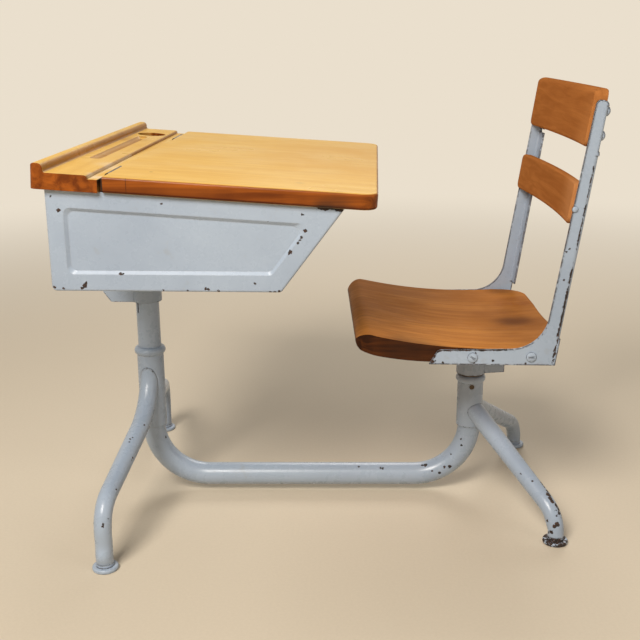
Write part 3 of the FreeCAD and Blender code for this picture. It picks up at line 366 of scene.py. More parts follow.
# %% [markdown]
# Every steel and iron piece wears the same pale blue-grey enamel over dark, scaled metal with some
# rust. One recipe makes them all, and each piece gives it its own chips. The paint drifts a little
# in tone, is stained in spots and greyer along the edges. Chips lie lower than the paint and are
# duller, which the relief and the roughness show.

# %% Enamel recipe
enamel_light, enamel_dull = colour(167, 180, 196), colour(156, 169, 186)
old_stain, edge_dirt = colour(142, 132, 114), colour(134, 124, 112)
dark_metal, rust_brown = colour(32, 25, 22), colour(68, 41, 27)
stain_share, dirt_share = 0.3, 0.22
peel_height = 0.1
paint_gloss, stain_dullness, metal_dullness = 0.17, 0.22, 0.45


def shaded(tint, shade):
    """A colour made darker or lighter."""
    return [channel * shade for channel in tint[:3]] + [1.0]


def enamel_paint(tree, place, soft_patches, edge, shade):
    """The colour of the paint where it has not chipped."""
    drift = ramp(tree, noise(tree, place, scale=5.0), 0.35, 0.65)
    paint = mix(tree, drift, shaded(enamel_light, shade), shaded(enamel_dull, shade))
    paint = mix(tree, ramp(tree, soft_patches, 0.6, 0.8, 0.0, stain_share), paint, old_stain)
    return mix(tree, maths(tree, "MULTIPLY", edge, dirt_share), paint, edge_dirt)


def enamel(
    name, rare=0.86, edge_share=0.24, edge_width=4.0, edge_high=0.15,
    chips=(), zones=(), strokes=(), shade=1.0,
):
    """Pale chipped enamel. Its edge width, chips, zones and strokes are in millimetres."""
    material, tree, shader, place = new_material(name)
    edge_sizes = {"Width": edge_width * MM, "High": edge_high}
    edge = place_group(tree, edge_group, edge_sizes)["Edge"]
    worn = {"Vector": place, "Rare": rare, "Edge": edge, "Edge Share": edge_share}
    worn["Zone"] = worn_zone(tree, place, zones)
    flakes = place_group(tree, flake_group, worn)
    bare = flakes["Bare"]
    if chips or strokes:
        bare = knocked_off(tree, place, bare, chips, strokes)
    soft_patches = noise(tree, place, scale=34.0, detail=5.0, roughness=0.65)
    paint = enamel_paint(tree, place, soft_patches, edge, shade)
    metal = mix(tree, flakes["Rust"], dark_metal, rust_brown)
    fill(tree, shader.inputs["Base Color"], mix(tree, bare, paint, metal))
    orange_peel = noise(tree, place, scale=420.0, detail=1.0)
    height = maths(tree, "SUBTRACT", maths(tree, "MULTIPLY", orange_peel, peel_height), bare)
    relief(tree, shader, height, strength=0.35, depth=0.4 * MM, rounding=1.6 * MM)
    gloss = maths(tree, "MULTIPLY_ADD", soft_patches, stain_dullness, paint_gloss)
    dulled = maths(tree, "MULTIPLY_ADD", bare, metal_dullness, gloss, clamp=True)
    fill(tree, shader.inputs["Roughness"], dulled)
    return material


enamel_plain = enamel("enamel_plain", rare=0.85, edge_share=0.28)
print("finish", enamel_plain.name, "nodes", len(enamel_plain.node_tree.nodes))

# %% [markdown]
# The book box has kept most of its paint. Its near side shows single chips along the pressed rim,
# each in its own place, and a dark band of bare-metal colour under the lid's front corner, which is
# painted shadow of the lid. The far side has no view of its own, so it gets worn zones at its
# corners in place of single chips.

# %% Enamel of the book box
box_chips = [
    ((-357.1, -298.8, 546.5), 3.0), ((-366.3, -298.8, 565.2), 1.6), ((-218.9, -298.8, 555.7), 1.7),
    ((-279.2, -298.8, 461.1), 2.4), ((-276.0, -298.8, 461.0), 2.0), ((-329.2, -298.8, 443.6), 3.2),
    ((-327.2, -298.8, 447.6), 2.1), ((-332.5, -298.8, 440.3), 2.2), ((-370.2, -298.7, 441.3), 1.8),
    ((-358.5, -298.8, 440.0), 1.4), ((-222.0, -298.7, 438.3), 1.5), ((-189.1, -298.7, 438.3), 1.5),
    ((-164.2, -298.8, 440.9), 2.2), ((-160.9, -298.8, 439.9), 1.6), ((-147.2, -298.4, 437.6), 2.4),
    ((-97.9, -298.7, 448.7), 1.5), ((-33.3, -298.8, 542.0), 1.9), ((-29.8, -298.7, 520.4), 2.6),
    ((-34.9, -298.8, 511.8), 2.1), ((-37.3, -298.8, 507.9), 1.8), ((-39.6, -298.8, 504.1), 1.8),
    ((-49.9, -298.7, 492.0), 2.7), ((-51.7, -298.7, 489.8), 1.7), ((-78.2, -298.8, 532.4), 1.1),
    ((-71.7, -298.0, 436.3), 2.2), ((-77.7, -298.0, 436.0), 1.8), ((-65.7, -298.0, 438.0), 2.0),
]
# A stroke of dark bare-metal colour under the lid's overhang: painted shadow of the lid.
lid_shadow_stroke = ((-12.0, -298.8, 551.0), (20.0, -298.8, 548.6), 3.4)
far_corners = [
    ((-70.0, 298.0, 440.0), 60.0, 0.16),
    ((-330.0, 298.0, 442.0), 50.0, 0.14),
    ((-30.0, 298.0, 520.0), 50.0, 0.14),
]
far_box_enamel = enamel("enamel_far_box", rare=0.84, edge_share=0.26, zones=far_corners)
box_enamel = enamel(
    "enamel_box", rare=0.9, edge_share=0.2, chips=box_chips, strokes=[lid_shadow_stroke]
)
print("box chips", len(box_chips), "zones on the far side", len(far_corners))

# %% [markdown]
# Shoes have worked on the base. The stretcher is chipped at its bend, the near leg of the desk
# has a few small chips, and the near leg of the seat is worn down to metal at its knee and foot.
# Single chips draw the shape of that wear, and two zones fill in the small flakes between them.

# %% Enamel of the base
stretcher_chips = [
    ((153.0, 10.2, 48.5), 3.4), ((148.0, 10.6, 47.7), 2.3), ((212.0, 6.1, 99.8), 1.7),
    ((213.4, 3.6, 89.3), 2.1), ((185.2, 1.5, 49.0), 2.3), ((194.3, 1.5, 50.3), 3.2),
    ((164.1, 1.4, 41.1), 1.9), ((176.9, 0.8, 38.2), 2.5), ((196.2, 6.1, 70.9), 1.6),
    ((37.4, 4.7, 45.4), 1.8), ((79.0, 3.8, 43.6), 2.2), ((75.2, 4.1, 44.0), 1.8),
    ((-295.7, -7.2, 100.4), 2.3),
]
seat_leg_chips = [
    ((314.8, -124.2, 84.9), 2.0), ((298.2, -109.4, 90.4), 1.3), ((329.6, -120.7, 81.1), 2.5),
    ((331.5, -123.7, 79.1), 2.5), ((333.2, -128.6, 77.3), 2.1), ((337.5, -134.6, 73.3), 3.6),
    ((337.7, -143.0, 71.4), 4.4), ((340.0, -149.4, 67.8), 3.6), ((342.7, -153.1, 64.5), 3.6),
    ((348.5, -155.2, 59.1), 3.6), ((351.8, -157.7, 54.1), 2.9), ((352.2, -162.6, 49.8), 2.8),
    ((334.0, -165.5, 37.6), 2.4), ((348.2, -173.2, 35.6), 4.0), ((344.1, -173.8, 32.2), 3.3),
    ((339.8, -173.0, 22.0), 2.9), ((336.6, -168.3, 18.7), 2.3), ((347.3, -168.0, 47.3), 1.6),
]
knee_and_foot = [((358.3, -150.0, 45.0), 42.0, 0.3), ((348.3, -163.0, 8.0), 26.0, 0.34)]
desk_leg_chips = [
    ((-325.8, -130.7, 148.8), 1.8), ((-322.9, -126.4, 149.6), 1.5), ((-325.0, -138.1, 146.8), 1.8),
    ((-314.9, -162.2, 130.4), 1.6), ((-315.5, -168.7, 128.9), 1.1), ((-312.3, -87.1, 155.6), 1.7),
    ((-322.4, -240.2, 113.7), 1.6), ((-332.7, -284.3, 78.8), 1.8), ((-333.0, -285.2, 75.7), 1.8),
    ((-326.4, -278.0, 84.3), 1.2),
]
stretcher_enamel = enamel("enamel_stretcher", chips=stretcher_chips)
seat_leg_enamel = enamel("enamel_seat_leg", chips=seat_leg_chips, zones=knee_and_foot)
foot_enamel = enamel("enamel_worn_foot", rare=0.47, edge_share=0.2)
desk_leg_enamel = enamel("enamel_desk_leg", chips=desk_leg_chips)
glide_enamel = enamel("enamel_glides", rare=0.76, edge_share=0.34)
print("base chips", len(stretcher_chips) + len(seat_leg_chips) + len(desk_leg_chips))

# %% [markdown]
# The steel sides of the seat are the most worn pieces: their long edges rub against clothes and
# against the desk behind. Broken strokes along the edges give that wear, and the edge finder adds
# to it. The castings are a shade darker, and the screw heads have lost much of their paint.

# %% Enamel of the seat
side_chips = [
    ((153.8, -163.4, 297.5), 1.2), ((165.0, -162.7, 294.6), 1.5), ((240.0, -157.7, 296.7), 1.8),
    ((289.4, -154.4, 291.8), 1.8), ((213.4, -159.5, 309.1), 1.6), ((211.7, -159.6, 293.3), 1.6),
    ((149.5, -163.7, 296.3), 3.0), ((152.3, -163.5, 304.2), 2.4), ((156.6, -163.2, 312.0), 2.1),
    ((338.6, -151.1, 420.3), 1.5), ((339.6, -151.1, 462.1), 1.4), ((343.7, -150.8, 466.5), 1.6),
]
rubbed_edges = [
    ((329.4, -151.8, 291.6), (350.0, -150.4, 437.1), 2.4),
    ((350.0, -150.4, 437.1), (371.1, -149.0, 585.6), 1.6),
    ((331.3, -151.6, 439.8), (355.2, -150.0, 608.1), 2.4),
    ((157.3, -163.2, 313.6), (262.0, -156.2, 313.6), 2.2),
]
arm_end = ((148.3, -163.0, 303.0), 16.0, 0.22)
side_enamel = enamel(
    "enamel_seat_side", edge_share=0.46, edge_width=5.0, edge_high=0.07,
    strokes=rubbed_edges, chips=side_chips, zones=[arm_end],
)
iron_enamel = enamel("enamel_cast_iron", edge_share=0.34, shade=0.9)
head_enamel = enamel("enamel_heads", rare=0.72, edge_share=0.42, edge_width=2.0, edge_high=0.08)
print("finishes", [m.name for m in bpy.data.materials if m.name.startswith("enamel")])

# %% [markdown]
# Old wood has a story on it: glued boards of unlike tone, soft stains, rubbed strips and dark lines
# where dirt has settled. Some patches, strips and lines also carry painted shade and painted
# highlights. Each is a helper that takes the wood's colour so far and gives it back changed, so a
# wood can use the ones it needs. Sizes are in millimetres.

# %% Marks on wood
seam_core, seam_reach = 0.2 * MM, 0.9 * MM
seam_share, board_share = 0.35, 0.55
stain_core, rubbed_core, line_core = 0.15, 0.2, 0.3
least_stain, least_rubbing = 0.4, 0.5


def glued_boards(tree, body, across, width, deep, seam_tone):
    """Boards side by side, each with its own tone, and thin dark seams between them."""
    number = maths(tree, "FLOOR", maths(tree, "DIVIDE", across, width))
    tone = add(tree, "ShaderNodeTexWhiteNoise", {"W": number}, noise_dimensions="1D")
    body = mix(tree, maths(tree, "MULTIPLY", tone.outputs["Value"], board_share), body, deep)
    seam = maths(tree, "PINGPONG", across, width / 2)
    return mix(tree, ramp(tree, seam, seam_core, seam_reach, seam_share, 0.0), body, seam_tone)


def patches_of_stain_and_light(tree, body, place, blotch, soft_patches):
    """Soft patches of (point, reach, strength, colour): stains, painted shade and painted
    highlights.
    """
    for point, reach, strength, tint in soft_patches:
        away = point_distance(tree, place, point)
        here = ramp(tree, away, stain_core * reach * MM, reach * MM, strength, 0.0)
        uneven = maths(tree, "MULTIPLY_ADD", blotch, 1.0 - least_stain, least_stain)
        body = mix(tree, maths(tree, "MULTIPLY", here, uneven), body, tint)
    return body


def rubbed(tree, body, place, band, strokes):
    """Rubbed or dirty strips of (first point, last point, reach, strength, colour)."""
    for first, last, reach, strength, tint in strokes:
        away = stroke_distance(tree, place, first, last)
        here = ramp(tree, away, rubbed_core * reach * MM, reach * MM, strength, 0.0)
        uneven = ramp(tree, band, 0.0, 0.6, least_rubbing, 1.0)
        body = mix(tree, maths(tree, "MULTIPLY", here, uneven), body, tint)
    return body


def lined(tree, body, along, rim_share, lines):
    """Thin lines of (place along, half width, strength, colour, whether on the rim alone)."""
    for at, half, strength, tint, rim_only in lines:
        apart = maths(tree, "ABSOLUTE", maths(tree, "SUBTRACT", along, at * MM))
        here = ramp(tree, apart, line_core * half * MM, half * MM, strength, 0.0)
        if rim_only:
            here = maths(tree, "MULTIPLY", here, rim_share)
        body = mix(tree, here, body, tint)
    return body


print("seams %.1f mm wide" % (2 * seam_reach / MM))

# %% [markdown]
# The top is maple that has gone honey-yellow, with the old orange varnish left on its edges. The
# seat and slats are a browner wood, and the seat is darker round its rim. One recipe serves both:
# where a surface turns away from straight up, the rim's colour and its coat of varnish take over,
# so edges need no material of their own. Where the rim faces down it is darker: painted shade.

# %% Wood recipe
along_x, along_y = (0.05, 1.0, 1.0), (1.0, 0.05, 1.0)
underside_share = 0.25
blotch_share, pore_share = 0.3, 0.22
rim_band_share, rim_blotch_share, low_edge_shade_share = 0.65, 0.3, 0.45
blotch_dullness, coat_dullness = 0.14, 0.25


def rim_mask(tree, facing, rim_level, lit_side_rim_share):
    """One where the surface turns away from straight up, little on the underside, less towards +x.
    """
    share = ramp(tree, facing["Z"], rim_level[0], rim_level[1], 1.0, 0.0)
    below = ramp(tree, facing["Z"], -0.95, -0.7, underside_share, 1.0)
    share = maths(tree, "MULTIPLY", share, below)
    # Faces turned towards +x keep only part of the rim colour and look paler: partly the wood's own
    # tone, partly painted light.
    if lit_side_rim_share < 1.0:
        share = maths(tree, "MULTIPLY", share, ramp(tree, facing["X"], 0.12, 0.4, 1.0, lit_side_rim_share))
    return share


def wood(
    name, tones, stretch, bands, rim_level, gloss, contrast=0.5, boards=0.0, grimy=0.0,
    shine=0.02, varnish=0.3, lit_side_rim_share=1.0, soft_patches=(), strokes=(), lines=(),
):
    """Varnished wood, whose tones are pale, deep, rim and dark rim. Boards is a board's width."""
    pale, deep, rim, dark_rim = tones
    material, tree, shader, place = new_material(name)
    grain_sizes = {"Vector": place, "Stretch": stretch, "Bands": bands}
    grain = place_group(tree, grain_group, grain_sizes)
    parts = add(tree, "ShaderNodeSeparateXYZ", {0: place}).outputs
    body = mix(tree, maths(tree, "MULTIPLY", grain["Band"], contrast), pale, deep)
    body = mix(tree, maths(tree, "MULTIPLY", grain["Blotch"], blotch_share), body, deep)
    if boards:
        body = glued_boards(tree, body, parts["Y"], boards * MM, deep, dark_rim)
    body = mix(tree, maths(tree, "MULTIPLY", grain["Pore"], pore_share), body, rim)
    normal = add(tree, "ShaderNodeTexCoord").outputs["Normal"]
    facing = add(tree, "ShaderNodeSeparateXYZ", {0: normal}).outputs
    rim_share = rim_mask(tree, facing, rim_level, lit_side_rim_share)
    # Where a face turns down, its rim colour is darkened further: painted shade.
    low_edge_shade = ramp(tree, facing["Z"], -0.5, 0.1, low_edge_shade_share + grimy, grimy)
    streak_and_shade = maths(tree, "MULTIPLY_ADD", grain["Band"], rim_band_share, low_edge_shade)
    darkness = maths(tree, "MULTIPLY_ADD", grain["Blotch"], rim_blotch_share, streak_and_shade, clamp=True)
    body = mix(tree, rim_share, body, mix(tree, darkness, rim, dark_rim))
    body = patches_of_stain_and_light(tree, body, place, grain["Blotch"], soft_patches)
    body = rubbed(tree, body, place, grain["Band"], strokes)
    body = lined(tree, body, parts["X"], rim_share, lines)
    fill(tree, shader.inputs["Base Color"], body)
    relief(tree, shader, grain["Height"], strength=0.1, depth=0.6 * MM, rounding=1.5 * MM)
    dulled = maths(tree, "MULTIPLY_ADD", grain["Blotch"], blotch_dullness, gloss)
    fill(tree, shader.inputs["Roughness"], dulled)
    shader.inputs["Specular IOR Level"].default_value = shine
    if varnish:
        fill(tree, shader.inputs["Coat Weight"], maths(tree, "MULTIPLY", rim_share, varnish))
        shader.inputs["Coat Roughness"].default_value = coat_dullness
    return material


print("grain along x", along_x, "or along y", along_y)

# %% [markdown]
# The lid's grain runs from back to front, and the pen strip's runs across the desk, as on the real
# top. Dirt and painted shade darken the gap between them and the lid's front corner. The strip is
# pale near its end and along its ledge, worn and with a painted highlight, and has a dark pen
# groove.

# %% Wood of the top
honey = (colour(235, 193, 106), colour(212, 160, 70), colour(172, 92, 28), colour(84, 34, 6))
# Dark dirt and painted shade, for the gap and the lid's lower front corner.
shade_and_grime = colour(38, 32, 26)
# Pale worn wood with a painted highlight, for the strip's end and its ledge by the gap.
pale_wear_and_highlight, pale_wear_and_highlight_edge = colour(238, 222, 196), colour(240, 224, 196)
top_rim = (0.6, 0.985)
lid_wood = wood(
    "honey_maple_lid", honey, along_x, bands=60.0, rim_level=top_rim, gloss=0.27,
    soft_patches=[
        # The next two darken the lid's lower front corner: painted shade under it, with some dirt.
        ((12.0, -303.0, 550.0), 30.0, 1.0, shade_and_grime),
        ((-8.0, -303.0, 551.0), 20.0, 1.0, shade_and_grime),
        ((-244.1, -237.7, 589.0), 4.0, 0.7, colour(120, 84, 44)),
        ((-39.8, -248.5, 575.9), 9.0, 0.5, colour(140, 112, 72)),
        # A wide soft darkening towards the lid's front and far side: painted shade.
        ((90.0, 80.0, 568.0), 330.0, 0.42, colour(202, 146, 62)),
    ],
    # The second line darkens the lid's edge in the gap: painted shade, with some dirt.
    lines=[(-263.0, 0.9, 0.75, colour(70, 34, 14), True), (-295.0, 1.6, 0.95, shade_and_grime, False)],
)
strip_wood = wood(
    # The inner slope of the back rail gets less rim colour and looks paler: partly the wood's tone,
    # partly painted light.
    "honey_maple_strip", honey, along_y, bands=60.0, rim_level=top_rim, gloss=0.27, lit_side_rim_share=0.62,
    soft_patches=[
        ((-360.1, 122.7, 596.6), 46.0, 0.6, colour(150, 96, 48)),
        # These two pale patches are worn wood with a painted highlight.
        ((-305.9, -284.0, 588.6), 20.0, 0.6, pale_wear_and_highlight),
        ((-308.7, -190.0, 590.0), 36.0, 0.45, pale_wear_and_highlight),
    ],
    strokes=[
        ((-348.4, -130.0, 592.0), (-348.4, 160.0, 592.0), 11.0, 0.7, colour(146, 88, 36)),
        # A pale stroke along the ledge by the gap: worn edge and painted highlight.
        ((-312.0, -300.0, 591.0), (-312.0, -60.0, 591.0), 4.0, 0.8, pale_wear_and_highlight_edge),
        ((-312.0, -40.0, 591.0), (-312.0, 290.0, 591.0), 4.0, 0.5, colour(146, 82, 36)),
        ((-376.0, -300.0, 599.0), (-376.0, 300.0, 599.0), 6.0, 0.5, colour(156, 92, 40)),
    ],
    # This line darkens the strip's edge in the gap: painted shade, with some dirt.
    lines=[(-299.8, 1.4, 0.95, shade_and_grime, False)],
)
print("finishes", lid_wood.name, strip_wood.name)

# %% [markdown]
# The seat is glued from boards whose tones differ. It is darker round its rim, and wide soft
# patches at its rear and far side paint the shadow that lies across it there, beside a few smaller
# stains.
# The slats are paler and have lost their varnish, so they have no rim colour at all.

# %% Wood of the seat
brown = (colour(208, 138, 62), colour(166, 100, 40), colour(120, 66, 28), colour(52, 28, 16))
slat_tones = (colour(186, 118, 62), colour(150, 88, 42), colour(140, 88, 46), colour(84, 42, 20))
seat_rim, no_rim = (0.25, 0.75), (-1.3, -1.2)
seat_wood = wood(
    "brown_seat_wood", brown, along_x, bands=64.0, rim_level=seat_rim, gloss=0.3, contrast=0.7,
    boards=58.0, grimy=0.35, shine=0.008, varnish=0.1,
    soft_patches=[
        # The wide soft patches towards the seat's rear and far side are painted shadow.
        ((291.7, 4.0, 312.1), 46.0, 0.8, colour(84, 52, 32)),
        ((306.0, -70.0, 312.0), 120.0, 0.55, colour(112, 66, 34)),
        ((240.0, 60.0, 306.0), 90.0, 0.35, colour(116, 70, 36)),
        ((325.0, 40.0, 318.0), 115.0, 0.6, colour(104, 56, 22)),
        ((190.0, 170.0, 312.0), 150.0, 0.4, colour(124, 70, 28)),
        ((305.4, 107.6, 316.4), 52.0, 0.6, colour(124, 64, 30)),
        ((288.7, 186.5, 315.7), 34.0, 0.7, colour(70, 44, 30)),
        ((118.3, -166.0, 302.0), 70.0, 0.9, colour(48, 30, 22)),
    ],
)
slat_wood = wood(
    "brown_slat_wood", slat_tones, along_y, bands=80.0, rim_level=no_rim, gloss=0.3,
    contrast=0.65, shine=0.0, varnish=0.0,
    soft_patches=[
        # These two pale patches at the slats' near ends are painted sheen.
        ((352.0, -150.0, 610.0), 120.0, 0.5, colour(206, 138, 80)),
        ((345.0, -150.0, 535.0), 110.0, 0.6, colour(212, 150, 98)),
    ],
)
print("finishes", seat_wood.name, slat_wood.name)

# %% [markdown]
# Hinges, bolts, the seat's spindle, its bush and its rubber buffers are bare. A plain colour would
# look like new metal, so soft tarnish changes both colour and gloss, and a fine relief breaks up
# the reflections.

# %% Bare metal and rubber
tarnish_dullness = 0.3


def bare_finish(name, base, worn, rough, metallic):
    """A bare surface with soft tarnish and fine marks."""
    material, tree, shader, place = new_material(name)
    tarnish = noise(tree, place, scale=60.0, detail=5.0, roughness=0.65)
    tone = mix(tree, ramp(tree, tarnish, 0.4, 0.7), base, worn)
    fill(tree, shader.inputs["Base Color"], tone)
    marks = noise(tree, place, scale=700.0, detail=2.0)
    relief(tree, shader, marks, strength=0.15, depth=0.3 * MM)
    dulled = maths(tree, "MULTIPLY_ADD", tarnish, tarnish_dullness, rough)
    fill(tree, shader.inputs["Roughness"], dulled)
    shader.inputs["Metallic"].default_value = metallic
    return material


steel = bare_finish(
    "worn_steel", colour(140, 137, 132), colour(92, 80, 70), rough=0.25, metallic=1.0
)
hinge_steel = bare_finish(
    "dark_hinge_steel", colour(92, 78, 62), colour(58, 46, 36), rough=0.35, metallic=0.8
)
# Its dark tone is partly tarnish and partly painted shade for the thrust washer in the gap between
# the seat's hub and its pedestal.
bronze = bare_finish(
    "dull_bronze", colour(92, 72, 48), colour(58, 46, 34), rough=0.4, metallic=0.9
)
rubber = bare_finish(
    "black_rubber", colour(34, 33, 32), colour(52, 50, 48), rough=0.6, metallic=0.0
)
print("finishes", steel.name, hinge_steel.name, bronze.name, rubber.name)

# %% [markdown]
# The frame's meshes are loose triangles, so they look faceted. Building each piece again would risk
# leaving its true shape. A copy with its doubles merged, shaded smooth up to a sharp angle, keeps
# the shape and looks like rolled metal and sanded wood. Weighted normals keep the flat faces flat.
# The legs have no flat faces, so they go without and allow a wider angle.

# %% Smooth copies of the solids
merge_distance = 2e-6
sharp_panel, sharp_leg = math.radians(24.0), math.radians(50.0)


def merged(node):
    """A CAD node's triangles as one joined shape, which the caller frees."""
    shape = bmesh.new()
    shape.from_mesh(nodes[node].data)
    bmesh.ops.remove_doubles(shape, verts=shape.verts, dist=merge_distance)
    return shape


def plain_mesh(piece):
    """Replace a piece's mesh by what its modifiers make of it, and remove them."""
    evaluated = piece.evaluated_get(bpy.context.evaluated_depsgraph_get())
    made = bpy.data.meshes.new_from_object(evaluated)
    piece.modifiers.clear()
    piece.data = made
    made.name = piece.name


def stand_in(piece, node):
    """A piece rides with a CAD node's body and stands for that node."""
    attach(piece, body_of[node])
    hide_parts(node)


def dress(node, material):
    """Stand a merged, smooth copy in for a CAD node, with its finish."""
    shape = merged(node)
    mesh = bpy.data.meshes.new(node + "_skin")
    shape.to_mesh(mesh)
    shape.free()
    if "custom_normal" in mesh.attributes:
        mesh.attributes.remove(mesh.attributes["custom_normal"])
    is_leg = "_leg_" in node
    mesh.shade_smooth()
    mesh.set_sharp_from_angle(angle=sharp_leg if is_leg else sharp_panel)
    mesh.materials.clear()
    mesh.materials.append(material)
    piece = bpy.data.objects.new(node + "_skin", mesh)
    scene.collection.objects.link(piece)
    if not is_leg:
        weights = piece.modifiers.new("even", "WEIGHTED_NORMAL")
        weights.keep_sharp = True
        weights.mode = "FACE_AREA_WITH_ANGLE"
    plain_mesh(piece)
    stand_in(piece, node)


sharp_angles = [round(math.degrees(angle)) for angle in (sharp_panel, sharp_leg)]
print("sharp from %d degrees, on legs from %d" % tuple(sharp_angles))

# %% [markdown]
# Each solid now gets its finish. A table shows at a glance which piece is made of what, with a slot
# name beside each finish. The stretcher and the headed fasteners are missing here, because node
# trees make them further on.

# %% Finish of each piece
finishes = {
    "desk_pedestal": (enamel_plain, "enamel"),
    "seat_pedestal": (enamel_plain, "enamel"),
    "desk_leg_near": (desk_leg_enamel, "enamel"),
    "desk_leg_far": (enamel_plain, "enamel"),
    "seat_leg_near": (seat_leg_enamel, "enamel"),
    "seat_leg_far": (enamel_plain, "enamel"),
    "desk_glide_near": (glide_enamel, "enamel"),
    "desk_glide_far": (glide_enamel, "enamel"),
    "seat_glide_near": (foot_enamel, "enamel"),
    "seat_glide_far": (glide_enamel, "enamel"),
    "desk_column": (enamel_plain, "enamel"),
    "desk_bracket": (iron_enamel, "painted_iron"),
    "box_wrap": (enamel_plain, "enamel"),
    "box_side_near": (box_enamel, "enamel"),
    "box_side_far": (far_box_enamel, "enamel"),
    "seat_bracket": (iron_enamel, "painted_iron"),
    "seat_side_near": (side_enamel, "enamel"),
    "seat_side_far": (side_enamel, "enamel"),
    "pen_strip": (strip_wood, "top_wood"),
    "lid_board": (lid_wood, "top_wood"),
    "seat_board": (seat_wood, "seat_wood"),
    "top_slat": (slat_wood, "seat_wood"),
    "lower_slat": (slat_wood, "seat_wood"),
    "desk_set_screw": (hinge_steel, "fasteners"),
    "seat_set_screw": (hinge_steel, "fasteners"),
    "column_pin": (steel, "fasteners"),
    "box_nuts": (steel, "fasteners"),
    "near_hinge_strip_leaf": (hinge_steel, "bare_steel"),
    "far_hinge_strip_leaf": (hinge_steel, "bare_steel"),
    "near_hinge_lid_leaf": (hinge_steel, "bare_steel"),
    "far_hinge_lid_leaf": (hinge_steel, "bare_steel"),
    "hinge_pins": (hinge_steel, "bare_steel"),
    "strip_hinge_screws": (steel, "fasteners"),
    "lid_hinge_screws": (steel, "fasteners"),
    "seat_post": (steel, "bare_steel"),
    "thrust_washer": (bronze, "bronze"),
    "stop_collar": (steel, "bare_steel"),
    "collar_pin": (steel, "fasteners"),
    "swivel_bush": (bronze, "bronze"),
    "swivel_buffers": (rubber, "buffer_rubber"),
}
for node, (material, slot) in finishes.items():
    dress(node, material)
print("dressed", len(finishes), "of", len(nodes))

# %% [markdown]
# The stretcher is one tube bent twice, so its shape follows a rule: a path and a round section. It
# could be a smooth copy too, but a node tree shows the rule. The tree rounds the corners of a plain
# line and runs a circle along it. Changing the bend or the tube is then one number each.

# %% Tree of a bent tube
bend_steps, ring_steps = 40, 48


def new_tree(name, wanted):
    """A geometry tree: its inputs' identifiers by name, and the sockets of its input node."""
    tree = bpy.data.node_groups.new(name, "GeometryNodeTree")
    tree.interface.new_socket("Geometry", in_out="OUTPUT", socket_type="NodeSocketGeometry")
    found = {}
    for label, kind in wanted:
        kind = "NodeSocket" + kind
        socket = tree.interface.new_socket(label, in_out="INPUT", socket_type=kind)
        found[label] = socket.identifier
    return tree, found, add(tree, "NodeGroupInput").outputs


def end_tree(tree, geometry, finish):
    """End a geometry tree in real geometry that wears its finish."""
    real = add(tree, "GeometryNodeRealizeInstances", {"Geometry": geometry}).outputs[0]
    worn = add(tree, "GeometryNodeSetMaterial", {"Geometry": real, "Material": finish})
    fill(tree, add(tree, "NodeGroupOutput").inputs[0], worn.outputs[0])


tube_tree, tube_inputs, given = new_tree(
    "bent_tube",
    [
        ("Line", "Geometry"), ("Bend Radius", "Float"), ("Tube Radius", "Float"),
        ("Finish", "Material"),
    ],
)
line = add(tube_tree, "GeometryNodeMeshToCurve", {"Mesh": given["Line"]}).outputs[0]
bends = {"Curve": line, "Count": bend_steps, "Radius": given["Bend Radius"]}
path = add(tube_tree, "GeometryNodeFilletCurve", bends, mode="POLY").outputs[0]
section = {"Resolution": ring_steps, "Radius": given["Tube Radius"]}
ring = add(tube_tree, "GeometryNodeCurvePrimitiveCircle", section).outputs[0]
skin = {"Curve": path, "Profile Curve": ring, "Fill Caps": True}
tube = add(tube_tree, "GeometryNodeCurveToMesh", skin).outputs[0]
end_tree(tube_tree, tube, given["Finish"])
print("tree", tube_tree.name, "inputs", list(tube_inputs))

# %% [markdown]
# The tube's line has four points: it goes down from the desk's pedestal, along the floor and up
# into the seat's pedestal. Under the desk the base stands turned by a few degrees, as the real one
# does, so the far end of the line is turned about the desk's post.

# %% Stretcher tube
desk_post = Vector((-316.4, 0.0, 0.0)) * MM
post_spacing = 543.0 * MM
base_turn = math.radians(2.3)
spigot_top = Vector((0.0, 0.0, 140.0 * MM))
tube_level = Vector((0.0, 0.0, 29.0 * MM))
bend_radius, tube_radius = 93.0 * MM, 19.05 * MM
sharp_round = math.radians(38.0)


def run_tree(piece, tree, values):
    """Run a geometry tree on a piece, with its inputs set by identifier, and shade it smooth."""
    modifier = piece.modifiers.new(tree.name, "NODES")
    modifier.node_group = tree
    for identifier, value in values.items():
        modifier[identifier] = value
    plain_mesh(piece)
    piece.data.shade_smooth()
    piece.data.set_sharp_from_angle(angle=sharp_round)


seat_reach = Matrix.Rotation(base_turn, 3, "Z") @ Vector((post_spacing, 0.0, 0.0))
seat_post = desk_post + seat_reach
corners = [desk_post + spigot_top, desk_post + tube_level]
corners += [seat_post + tube_level, seat_post + spigot_top]
line_mesh = bpy.data.meshes.new("stretcher_tube_skin")
line_mesh.from_pydata(corners, [(0, 1), (1, 2), (2, 3)], [])
stretcher = bpy.data.objects.new("stretcher_tube_skin", line_mesh)
scene.collection.objects.link(stretcher)
run_tree(stretcher, tube_tree, {
    tube_inputs["Bend Radius"]: bend_radius,
    tube_inputs["Tube Radius"]: tube_radius,
    tube_inputs["Finish"]: stretcher_enamel,
})
stand_in(stretcher, "stretcher_tube")
print("stretcher faces", len(stretcher.data.polygons))

# %% [markdown]
# Screws, bolts and rivets repeat the same turned head and shank, so one tree makes them all. It
# starts with the head: a disc of triangles whose top is lifted most in the middle and not at all at
# its rim. That gives a dome with few faces.

# %% Tree of heads: the dome
head_tree, head_inputs, given = new_tree(
    "domed_heads",
    [
        ("Points", "Geometry"), ("Head Radius", "Float"), ("Head Height", "Float"),
        ("Dome", "Float"), ("Shank Radius", "Float"), ("Shank Length", "Float"),
        ("Slotted", "Bool"), ("Slot Width", "Float"), ("Slot Depth", "Float"),
        ("Finish", "Material"),
    ],
)


def head_maths(operation, first, second=0.0, third=0.0):
    """One sum in the tree of heads."""
    return maths(head_tree, operation, first, second, third)


